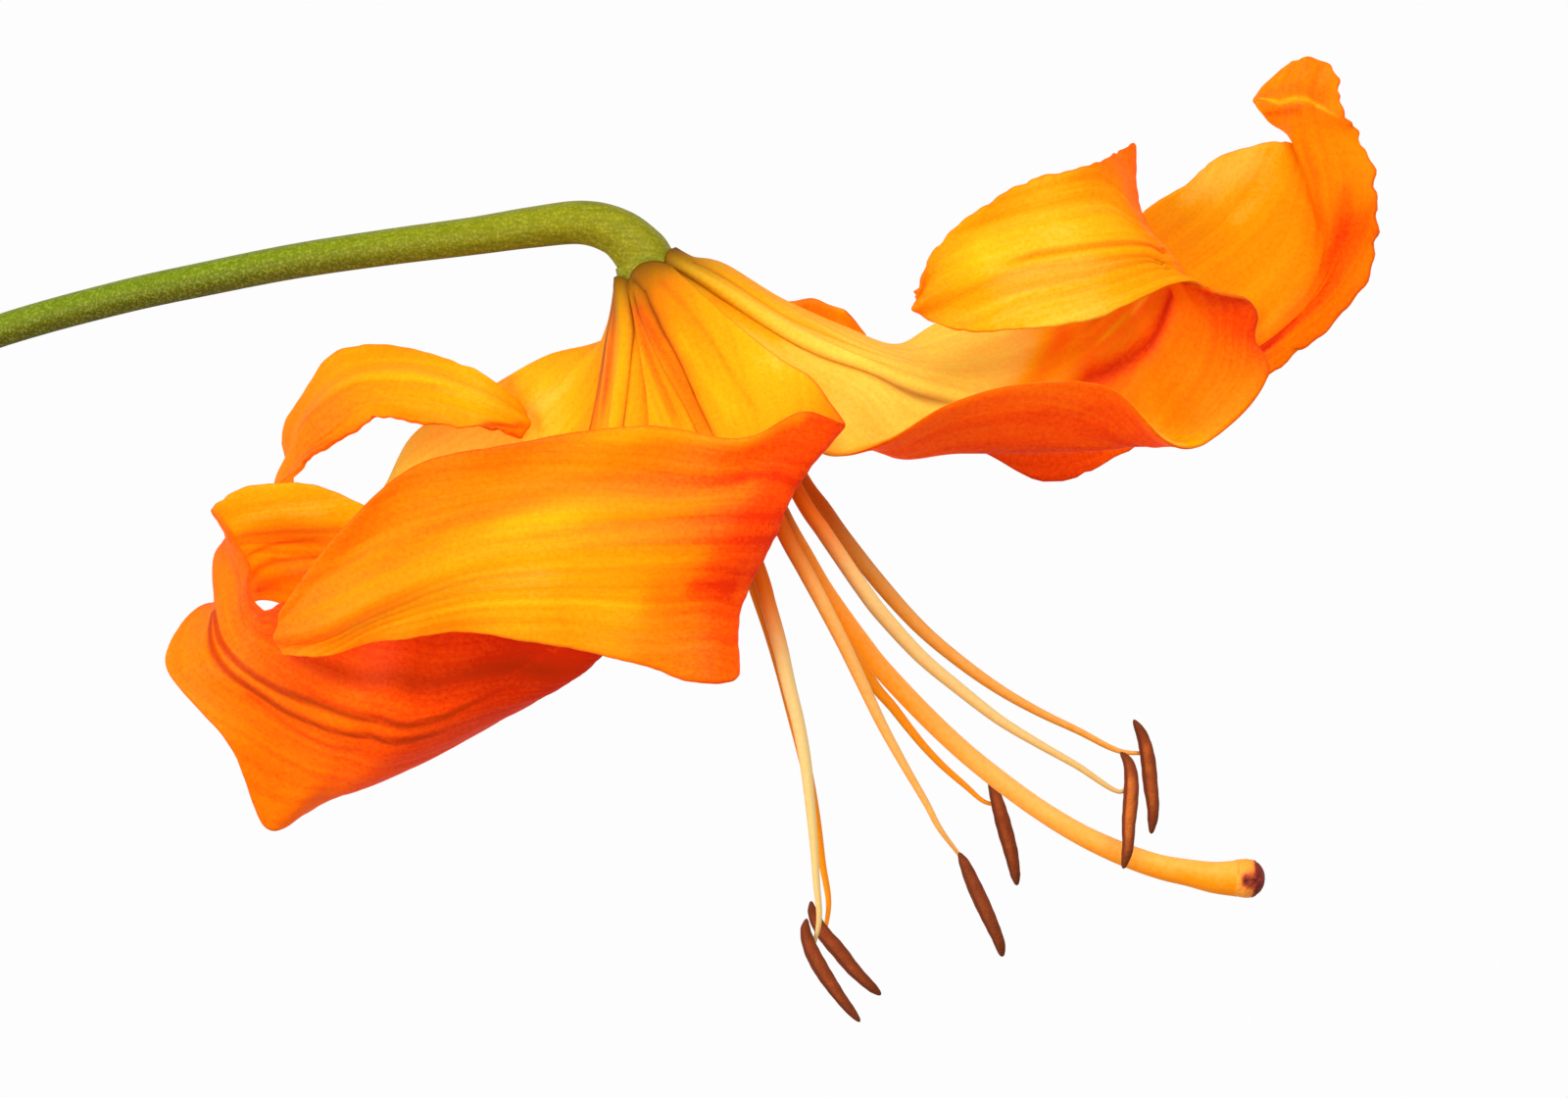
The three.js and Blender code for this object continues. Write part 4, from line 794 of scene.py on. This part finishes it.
# ---------------------------------------------------------------------------------------------
# Materials. Noise scales are per metre: 2000 makes spots 0.5 mm apart.
# ---------------------------------------------------------------------------------------------
def add_node(tree, kind, settings=None, stops=None, output=None, **links):
    """A shader node with its settings, colour stops and inputs. An input is named, or numbered as
    i0, i1, and is a value or another node's output. Gives the named output, or the first in use."""
    node = tree.nodes.new("ShaderNode" + kind)
    for key, value in (settings or {}).items():
        setattr(node, key, value)
    for place, colour in stops or []:
        at_end = node.color_ramp.elements[-1]
        element = at_end if place >= 1 else node.color_ramp.elements.new(place)
        element.color = colour
    if stops:
        node.color_ramp.elements.remove(node.color_ramp.elements[0])
    for key, value in links.items():
        numbered = key[0] == "i" and key[1:].isdigit()
        socket = node.inputs[int(key[1:])] if numbered else node.inputs[key.replace("_", " ")]
        if isinstance(value, bpy.types.NodeSocket):
            tree.links.new(value, socket)
        else:
            socket.default_value = value
    if output:
        return node.outputs[output]
    return next((socket for socket in node.outputs if socket.enabled), None)


def new_material(name):
    """An empty node material and its tree."""
    material = bpy.data.materials.new(name)
    material.use_nodes = True
    material.node_tree.nodes.clear()
    return material, material.node_tree


def varied(tree, value, texture, amount, clamp=False):
    """A value that a texture raises and lowers: value + amount (texture - 1/2)."""
    shift = add_node(tree, "Math", {"operation": "MULTIPLY_ADD"}, i0=texture, i1=amount, i2=-amount / 2)
    return add_node(tree, "Math", {"operation": "ADD", "use_clamp": clamp}, i0=value, i1=shift)


def cover(tree, colour, height, strength, depth, roughness, gloss):
    """Finishes an opaque material: its colour, a relief from a height, and how matt and shiny it is."""
    relief = add_node(tree, "Bump", Strength=strength, Distance=depth, Height=height)
    skin = add_node(tree, "BsdfPrincipled", Base_Color=colour, Roughness=roughness, Normal=relief,
                    Specular_IOR_Level=gloss)
    add_node(tree, "OutputMaterial", Surface=skin)


def petal_tissue(settings):
    """Lily petal: thin, waxy living tissue that lets light through, with soft lengthwise streaks,
    faint clouds of colour, a grain of fine papillae, a brown foot and a brown line along the very
    margin. The brown of the foot and of the grooves is mixed with painted shade, darker deep in the
    funnel, in folds and where one petal lies under another. Its wax gives only a weak, broad gloss."""
    material, tree = new_material("lily petal tissue")
    blade = add_node(tree, "UVMap", {"uv_map": "blade"})
    place = add_node(tree, "TexCoord", output="Object")
    warmth, dark, stain, rim = (add_node(tree, "Attribute", {"attribute_name": name}, output="Fac")
                                for name in ("warmth", "dark", "stain", "rim"))
    # the blade is mapped at 1 per 100 mm, so the streaks are 0.9 mm apart and 33 mm long
    stretched = add_node(tree, "Mapping", Vector=blade, Scale=(3.0, 110.0, 1.0))
    streak = add_node(tree, "TexNoise", Vector=stretched, Scale=1.0, Detail=6.0, Roughness=0.62)
    # clouds 9 mm apart
    cloud = add_node(tree, "TexNoise", Vector=place, Scale=110.0, Detail=3.0)
    # papillae are finer than the render shows, so they are drawn 0.5 mm apart
    papillae = add_node(tree, "TexNoise", Vector=place, Scale=2000.0, Detail=2.0, Roughness=0.7)
    tone = warmth
    for texture, amount in ((streak, settings.streaks), (cloud, 0.14), (papillae, 0.3)):
        tone = varied(tree, tone, texture, amount)
    # warmth -0.25 is cream, 0 pale, 0.25 golden, 0.5 orange, 0.7 deep, 0.85 blood and 1 red
    tone = add_node(tree, "Math", {"operation": "MULTIPLY_ADD"}, i0=tone, i1=0.8, i2=0.2)
    plain = add_node(tree, "ValToRGB", Fac=tone, stops=[
        (0.0, settings.cream), (0.2, settings.pale), (0.4, settings.golden), (0.6, settings.orange),
        (0.76, settings.deep), (0.88, settings.blood), (1.0, settings.red)])
    # painted shade: the groove brown and the painted shade of folds and overlaps are mixed in here
    shaded = add_node(tree, "Mix", {"data_type": "RGBA"}, Factor=dark, A=plain, B=settings.fold_brown_and_shade)
    # the foot's brown, with painted shade deep in the funnel
    stained = add_node(tree, "Mix", {"data_type": "RGBA"}, Factor=stain, A=shaded, B=settings.foot)
    rimmed = add_node(tree, "Math", {"operation": "MULTIPLY"}, i0=rim, i1=0.4)
    colour = add_node(tree, "Mix", {"data_type": "RGBA"}, Factor=rimmed, A=stained, B=settings.rim)
    height = add_node(tree, "Math", {"operation": "MULTIPLY_ADD"}, i0=streak, i1=1.5, i2=papillae)
    relief = add_node(tree, "Bump", Strength=0.6, Distance=0.0001, Height=height)
    wax = add_node(tree, "BsdfPrincipled", Base_Color=colour, Roughness=0.5, Normal=relief,
                   Specular_IOR_Level=0.08)
    glow = add_node(tree, "BsdfTranslucent", Color=colour, Normal=relief)
    tissue = add_node(tree, "MixShader", Fac=settings.translucency, i1=wax, i2=glow)
    add_node(tree, "OutputMaterial", Surface=tissue)
    return material


def stem_skin(settings):
    """Lily stem: a smooth green skin under a thin waxy bloom, speckled with pale breathing pores and
    grained by its fibres, browner on the side towards the funnel and warmer near the flower."""
    material, tree = new_material("green stem skin")
    place = add_node(tree, "TexCoord", output="Object")
    share, bloom = (add_node(tree, "Attribute", {"attribute_name": name}, output="Fac")
                    for name in ("share", "bloom"))
    # pores are drawn 0.3 mm apart, coarser than real ones, so that they show; fibres are 0.4 mm apart
    # and 8 times longer than wide, along the stem
    pores = add_node(tree, "TexNoise", Vector=place, Scale=3200.0, Detail=2.0)
    drawn = add_node(tree, "Mapping", Vector=place, Scale=(0.12, 1.0, 1.0))
    fibres = add_node(tree, "TexNoise", Vector=drawn, Scale=2600.0, Detail=3.0)
    green = add_node(tree, "ValToRGB", Fac=bloom, stops=[
        (0.05, settings.flush), (0.4, settings.green), (0.75, settings.green), (1.0, settings.bloom)])
    near_flower = add_node(tree, "MapRange", Value=share, From_Min=0.45, From_Max=0.95, To_Max=0.8)
    warmed = add_node(tree, "Mix", {"data_type": "RGBA"}, Factor=near_flower, A=green,
                      B=settings.warm_green)
    speck = add_node(tree, "MapRange", Value=pores, From_Min=0.48, From_Max=0.64, To_Max=0.4)
    speckled = add_node(tree, "Mix", {"data_type": "RGBA"}, Factor=speck, A=warmed, B=settings.pores)
    grain = add_node(tree, "ValToRGB", Fac=fibres, stops=[
        (0.3, settings.fibres), (0.7, WHITE), (1.0, WHITE)])
    colour = add_node(tree, "Mix", {"data_type": "RGBA", "blend_type": "MULTIPLY"}, Factor=0.5,
                      A=speckled, B=grain)
    cover(tree, colour, pores, strength=0.4, depth=0.00015, roughness=0.5, gloss=0.06)
    return material


def filament_flesh(name, throat, flesh, pale):
    """Filament or style: soft flesh, mottled every 0.6 mm, browner where it leaves the throat and
    paler along one side, which is painted light: a lit side of the tube."""
    material, tree = new_material(name)
    place = add_node(tree, "TexCoord", output="Object")
    brown, light = (add_node(tree, "Attribute", {"attribute_name": key}, output="Fac")
                    for key in ("throat", "light"))
    mottle = add_node(tree, "TexNoise", Vector=place, Scale=1600.0, Detail=3.0)
    # painted light: the lit side is mixed towards the pale flesh
    lit = varied(tree, light, mottle, 0.5, clamp=True)
    fresh = add_node(tree, "Mix", {"data_type": "RGBA"}, Factor=lit, A=flesh, B=pale)
    colour = add_node(tree, "Mix", {"data_type": "RGBA"}, Factor=brown, A=fresh, B=throat)
    cover(tree, colour, mottle, strength=0.3, depth=0.0001, roughness=0.5, gloss=0.06)
    return material


def anther_pollen(settings):
    """Anther: two brown lobes dusted with rust-brown pollen, so it looks granular and quite matt."""
    material, tree = new_material("pollen covered anther")
    place = add_node(tree, "TexCoord", output="Object")
    crest = add_node(tree, "Attribute", {"attribute_name": "crest"}, output="Fac")
    # real pollen is 0.1 mm fine; it is drawn 0.3 mm coarse so that it shows, in patches of 1.4 mm
    grains = add_node(tree, "TexNoise", Vector=place, Scale=3200.0, Detail=2.0)
    patches = add_node(tree, "TexNoise", Vector=place, Scale=700.0, Detail=3.0)
    tone = varied(tree, crest, patches, 0.7, clamp=True)
    colour = add_node(tree, "ValToRGB", Fac=tone, stops=[
        (0.0, settings.dark_pollen), (0.45, settings.pollen), (1.0, settings.rust)])
    cover(tree, colour, grains, strength=0.8, depth=0.00015, roughness=0.85, gloss=0.1)
    return material


def stigma_velvet(settings):
    """Stigma: orange flesh whose creases and end are covered by a velvet of maroon papillae, which
    is patchy and a little moist."""
    material, tree = new_material("stigma papillae")
    place = add_node(tree, "TexCoord", output="Object")
    velvet = add_node(tree, "Attribute", {"attribute_name": "velvet"}, output="Fac")
    # papillae are finer than the render shows, so they are drawn 0.4 mm apart, in 0.8 mm patches
    papillae = add_node(tree, "TexNoise", Vector=place, Scale=2600.0, Detail=2.0)
    patches = add_node(tree, "TexNoise", Vector=place, Scale=1300.0, Detail=2.0)
    share = add_node(tree, "Math", {"operation": "MULTIPLY_ADD"}, i0=patches, i1=1.2, i2=0.4)
    tone = add_node(tree, "Math", {"operation": "MULTIPLY", "use_clamp": True}, i0=velvet, i1=share)
    colour = add_node(tree, "ValToRGB", Fac=tone, stops=[
        (0.0, settings.lobe_flesh), (0.3, settings.blush), (0.6, settings.maroon),
        (1.0, settings.dark_maroon)])
    cover(tree, colour, papillae, strength=0.8, depth=0.0002, roughness=0.6, gloss=0.2)
    return material


def light_table(settings):
    """Light table: an even, very bright opal sheet."""
    material, tree = new_material("opal light table")
    glow = add_node(tree, "Emission", Color=settings.table, Strength=settings.table_brightness)
    add_node(tree, "OutputMaterial", Surface=glow)
    return material


# ---------------------------------------------------------------------------------------------
# What a user may change
# ---------------------------------------------------------------------------------------------
def tint(name, description, default):
    """A colour property whose default is an sRGB hex colour."""
    return bpy.props.FloatVectorProperty(name=name, description=description, default=linear(default),
                                         size=4, min=0.0, max=1.0, subtype="COLOR")


def length(name, description, default, least, most):
    """A length property; its default and its limits are given in millimetres."""
    return bpy.props.FloatProperty(name=name, description=description, default=default * MM,
                                   min=least * MM, max=most * MM, unit="LENGTH", precision=5)


def fraction(name, description, default, most=1.0):
    """A property that is a fraction, from 0 to most."""
    return bpy.props.FloatProperty(name=name, description=description, default=default, min=0.0,
                                   max=most, subtype="FACTOR")


def brightness(name, description, default):
    """A property that says how bright something is."""
    return bpy.props.FloatProperty(name=name, description=description, default=default, min=0.0, max=5.0)


def power(name, description, default):
    """A lamp's power in watts."""
    return bpy.props.FloatProperty(name=name, description=description, default=default, min=0.0,
                                   max=500.0, unit="POWER")


class PetalSettings(bpy.types.PropertyGroup):
    margin_thickness: length("Margin thickness", "Thickness of a petal near its margin", 0.62, 0.2, 2)
    ruffle_height: length("Ruffle height", "How far the margins wave up and down", 0.55, 0, 3)
    ruffle_length: length("Ruffle length", "Length of one wave of the margins", 13, 4, 40)
    frill: fraction("Frill", "Depth of the small teeth along the margins, as a share", 1.0, 3.0)
    groove_depth: fraction("Groove depth", "Depth of the grooves and ridges, as a share", 1.0, 3.0)
    streaks: fraction("Streaks", "Strength of the fine lengthwise streaks of colour", 0.32)
    translucency: fraction("Translucency", "Share of the light that a petal lets through", 0.5)
    # cream is partly painted light: it brightens the funnel where it lies under petal limbs
    cream: tint("Cream", "Skin in the palest part of the funnel", "#FFFF5A")
    pale: tint("Pale yellow", "Skin where it is pale", "#FDDC50")
    golden: tint("Golden", "Skin between pale yellow and orange", "#FABE08")
    orange: tint("Orange", "Skin of most of the petals", "#FA9A00")
    deep: tint("Deep orange", "Skin towards the bend of a petal", "#FA7C00")
    blood: tint("Blood orange", "Skin on the bend of a petal", "#F85A00")
    red: tint("Red", "Skin in the folds and in the throat", "#E23800")
    # brown of the grooves, which is also the colour of painted shade in folds and under other petals
    fold_brown_and_shade: tint("Fold", "Bottom of the grooves", "#8A3E00")
    # the foot colour is also painted shade deep in the funnel
    foot: tint("Foot", "Stain where a petal leaves the stem", "#86580A")
    rim: tint("Rim", "Brown line along the very margin", "#B04A00")
    rows_per_station: bpy.props.IntProperty(
        name="Rows per station", description="Rows of the mesh between two stations of a petal",
        default=14, min=2, max=40)
    columns: bpy.props.IntProperty(
        name="Columns", description="Columns of the mesh across a petal, an even number",
        default=84, min=8, max=160)


class StemSettings(bpy.types.PropertyGroup):
    ridge: fraction("Ridges", "Depth of the stem's faint ridges, as a share of its radius", 0.025, 0.2)
    green: tint("Green", "Skin of the stem towards its cut end", "#5C6A00")
    warm_green: tint("Warm green", "Skin of the stem towards the flower", "#7C7404")
    bloom: tint("Bloom", "Waxy bloom on the side of the stem away from the funnel", "#6C7620")
    pores: tint("Pores", "Pale specks of the breathing pores", "#8E9638")
    flush: tint("Flush", "Brown flush on the side of the stem towards the funnel", "#4E4A00")
    fibres: tint("Fibres", "Shade between the fibres, which is multiplied in", "#9AA85A")


class StamenSettings(bpy.types.PropertyGroup):
    groove: fraction("Anther groove", "Depth of the groove between an anther's two lobes", 0.22, 0.8)
    girth: length("Anther girth", "Greatest radius of an anther", 0.88, 0.3, 1)
    throat: tint("Throat brown", "Filament inside the flower's throat", "#C8620C")
    flesh: tint("Flesh", "Darker side of a filament", "#D27806")
    # the paler side is painted light
    pale: tint("Pale flesh", "Paler side of a filament", "#C2A468")
    dark_pollen: tint("Dark pollen", "Edges of an anther", "#5E280F")
    pollen: tint("Pollen", "Flanks of an anther", "#7A3414")
    rust: tint("Rust", "Crest of an anther", "#B45C1E")


class PistilSettings(bpy.types.PropertyGroup):
    lobes: fraction("Stigma lobes", "How far the three lobes of the stigma stand out", 0.1, 0.5)
    throat: tint("Throat brown", "Ovary inside the flower's throat", "#B86414")
    flesh: tint("Flesh", "Darker side of the style", "#E88202")
    # the paler side is painted light
    pale: tint("Pale flesh", "Paler side of the style", "#DCB060")
    lobe_flesh: tint("Lobe flesh", "Flesh of the stigma's lobes", "#E68A24")
    blush: tint("Blush", "Flesh that shows through thin velvet", "#D06A20")
    maroon: tint("Maroon", "Velvet of the stigma", "#A04016")
    dark_maroon: tint("Dark maroon", "Velvet where it is thickest", "#6A1A10")


class StageSettings(bpy.types.PropertyGroup):
    table: tint("Table", "Colour of the light table", "#FDFDFD")
    table_brightness: brightness("Table brightness", "How bright the table itself looks", 1.0)
    sky_brightness: brightness("Room brightness", "Even light from all round", 0.55)
    key_power: power("Key light", "Power of the large soft light above the flower", 11.0)
    side_power: power("Side light", "Power of the soft light from the side of the stem", 9.0)


# ---------------------------------------------------------------------------------------------
# Pieces
# ---------------------------------------------------------------------------------------------
class LILY_OT_petals(bpy.types.Operator):
    """Three outer and three inner petals, each a thin closed blade from its own stations"""
    bl_idname = "lily.petals"
    bl_label = "Petals"

    def execute(self, context):
        settings = context.scene.lily_petals
        tissue = petal_tissue(settings)
        for petal in PETALS:
            points, quads, values, uv = sheet(petal, settings)
            add_piece(petal.name + "_skin", points, quads, values, uv, tissue, petal.name)
        return {"FINISHED"}


class LILY_OT_stem(bpy.types.Operator):
    """The stem, which widens into the receptacle that carries petals, stamens and pistil"""
    bl_idname = "lily.stem"
    bl_label = "Stem"

    def execute(self, context):
        settings = context.scene.lily_stem
        path = PEDICEL + [around_axis(along, 0, 0) for along in RECEPTACLE_PLACES]
        points, along, angle = tube(path, PEDICEL_RADII + RECEPTACLE_RADII, STEM_MESH,
                                    lambda s, a: stem_shape(s, a, settings.ridge))
        # the bloom lies on the side away from the funnel, and the flush on the side towards it
        values = {"share": along, "bloom": 0.5 - 0.5 * np.cos(angle - 0.6)}
        add_tube("stem_skin", laid_down(points), values, stem_skin(settings), "pedicel")
        return {"FINISHED"}


class LILY_OT_filaments(bpy.types.Operator):
    """Six filaments, which taper from the receptacle to the anthers"""
    bl_idname = "lily.filaments"
    bl_label = "Filaments"

    def execute(self, context):
        settings = context.scene.lily_stamens
        flesh = filament_flesh("filament flesh", settings.throat, settings.flesh, settings.pale)
        for stamen in STAMENS:
            held = np.array([stamen.grip * (len(stamen.anther) - 1)])
            tip = catmull_rom(stamen.anther, held)[0] - UP * (settings.girth / MM + ANTHER_CLEARANCE)
            foot = around_axis(FILAMENT_SEAT, FILAMENT_RING, stamen.azimuth)
            points, along, angle = tube([foot] + stamen.filament + [tip], FILAMENT_TAPER, FILAMENT_MESH,
                                        from_tip=True)
            # the light value is the stamen's paleness plus painted light, paler along one side
            values = {"throat": 1 - smooth(along, stamen.throat_end - 0.1, stamen.throat_end + 0.04),
                      "light": stamen.paleness - 0.2 * np.cos(angle)}
            node = "filament_" + stamen.name
            add_tube(node + "_flesh", points, values, flesh, node)
        return {"FINISHED"}


class LILY_OT_anthers(bpy.types.Operator):
    """Six anthers, each two lobes with a groove between them, tapering to both ends"""
    bl_idname = "lily.anthers"
    bl_label = "Anthers"

    def execute(self, context):
        settings = context.scene.lily_stamens
        pollen = anther_pollen(settings)
        radii = [settings.girth / MM * girth for girth in ANTHER_SPINDLE]
        for number, stamen in enumerate(STAMENS):
            points, along, angle = tube(stamen.anther, radii, ANTHER_MESH,
                                        lambda s, a: anther_shape(s, a, settings.groove, number))
            # rusty on the crest, which faces up, and darker in the groove
            middle = smooth(along, 0.0, 0.3) * (1 - smooth(along, 0.7, 1.0))
            crest = bump(turned(angle, 1.5), 1.0) * middle
            values = {"crest": stamen.rust * crest - 0.4 * anther_groove(angle)}
            node = "anther_" + stamen.name
            add_tube(node + "_lobes", points, values, pollen, node)
        return {"FINISHED"}


class LILY_OT_pistil(bpy.types.Operator):
    """Ovary and style in one, and the three-lobed stigma at its end"""
    bl_idname = "lily.pistil"
    bl_label = "Pistil"

    def execute(self, context):
        settings = context.scene.lily_pistil
        path = [around_axis(FILAMENT_SEAT, 0, 0)] + [np.array(p) for p in PISTIL]
        flesh = filament_flesh("style flesh", settings.throat, settings.flesh, settings.pale)
        points, along, angle = tube(path, PISTIL_RADII, PISTIL_MESH, style_shape)
        # brown as far as the ovary reaches; painted light makes one side paler, and a painted highlight
        # makes it palest at about 0.7 of the length
        values = {"throat": 1 - smooth(along, 0.3, 0.36),
                  "light": 0.1 - 0.25 * np.cos(angle) + 0.4 * bump(along - 0.72, 0.16)}
        add_tube("pistil_flesh", points, values, flesh, "pistil")
        out = unit(path[-1] - path[-2])
        cap = [path[-1] + out * (place * STIGMA_LENGTH - STIGMA_OVERLAP) for place in STIGMA_PLACES]
        points, along, angle = tube(cap, STIGMA_RADII, STIGMA_MESH,
                                    lambda s, a: stigma_shape(s, a, settings.lobes))
        values = {"velvet": stigma_velvetiness(along, angle)}
        add_tube("stigma_cap", points, values, stigma_velvet(settings), "stigma")
        return {"FINISHED"}


class LILY_OT_stage(bpy.types.Operator):
    """Camera straight above, a light table under the flower and soft light from all round"""
    bl_idname = "lily.stage"
    bl_label = "Stage"

    def execute(self, context):
        scene = context.scene
        settings = scene.lily_stage
        lens = bpy.data.cameras.new("camera")
        lens.sensor_width = 36.0
        lens.lens = lens.sensor_width * CAMERA_HEIGHT_MM / VIEW_WIDTH_MM
        lens.clip_end = 20.0
        camera = bpy.data.objects.new("camera", lens)
        camera.location = (RECEPTACLE + np.array([*VIEW_CENTRE, CAMERA_HEIGHT_MM])) * MM
        scene.collection.objects.link(camera)
        scene.camera = camera
        corners = [(x * TABLE_REACH, y * TABLE_REACH, -TABLE_DROP)
                   for x, y in ((-1, -1), (1, -1), (1, 1), (-1, 1))]
        mesh = bpy.data.meshes.new("light_table")
        mesh.from_pydata(corners, [], [(0, 1, 2, 3)])
        mesh.materials.append(light_table(settings))
        table = bpy.data.objects.new("light_table", mesh)
        scene.collection.objects.link(table)
        for name, place, watts in (("key", KEY_PLACE, settings.key_power),
                                   ("side", SIDE_PLACE, settings.side_power)):
            lamp = bpy.data.lights.new(name, "AREA")
            lamp.shape = "DISK"
            lamp.size = LAMP_SIZE
            lamp.energy = watts
            light = bpy.data.objects.new(name, lamp)
            light.location = place
            light.rotation_euler = Vector(place).to_track_quat("Z", "Y").to_euler()
            scene.collection.objects.link(light)
        world = bpy.data.worlds.new("room")
        world.use_nodes = True
        background = world.node_tree.nodes["Background"]
        background.inputs["Color"].default_value = WHITE
        background.inputs["Strength"].default_value = settings.sky_brightness
        scene.world = world
        scene.view_settings.view_transform = "Standard"
        return {"FINISHED"}


class LILY_PT_panel(bpy.types.Panel):
    """Lists the lily's pieces and their settings"""
    bl_label = "Lily"
    bl_idname = "LILY_PT_panel"
    bl_space_type = "VIEW_3D"
    bl_region_type = "UI"
    bl_category = "Lily"

    def draw(self, context):
        layout = self.layout
        for operator, group in ((LILY_OT_stage, "lily_stage"), (LILY_OT_stem, "lily_stem"),
                                (LILY_OT_petals, "lily_petals"), (LILY_OT_filaments, None),
                                (LILY_OT_anthers, "lily_stamens"), (LILY_OT_pistil, "lily_pistil")):
            layout.operator(operator.bl_idname)
            if group:
                settings = getattr(context.scene, group)
                for name in settings.__annotations__:
                    layout.prop(settings, name)


CLASSES = (PetalSettings, StemSettings, StamenSettings, PistilSettings, StageSettings, LILY_OT_petals,
           LILY_OT_stem, LILY_OT_filaments, LILY_OT_anthers, LILY_OT_pistil, LILY_OT_stage, LILY_PT_panel)
GROUPS = {"lily_petals": PetalSettings, "lily_stem": StemSettings, "lily_stamens": StamenSettings,
          "lily_pistil": PistilSettings, "lily_stage": StageSettings}


def register():
    for item in CLASSES:
        bpy.utils.register_class(item)
    for name, group in GROUPS.items():
        setattr(bpy.types.Scene, name, bpy.props.PointerProperty(type=group))


def unregister():
    for name in GROUPS:
        delattr(bpy.types.Scene, name)
    for item in reversed(CLASSES):
        bpy.utils.unregister_class(item)


def main():
    """Registers the add-on, then makes the stage and the flower piece by piece."""
    register()
    bpy.ops.lily.stage()
    bpy.ops.lily.stem()
    bpy.ops.lily.petals()
    bpy.ops.lily.filaments()
    bpy.ops.lily.anthers()
    bpy.ops.lily.pistil()


if __name__ == "__main__":
    main()
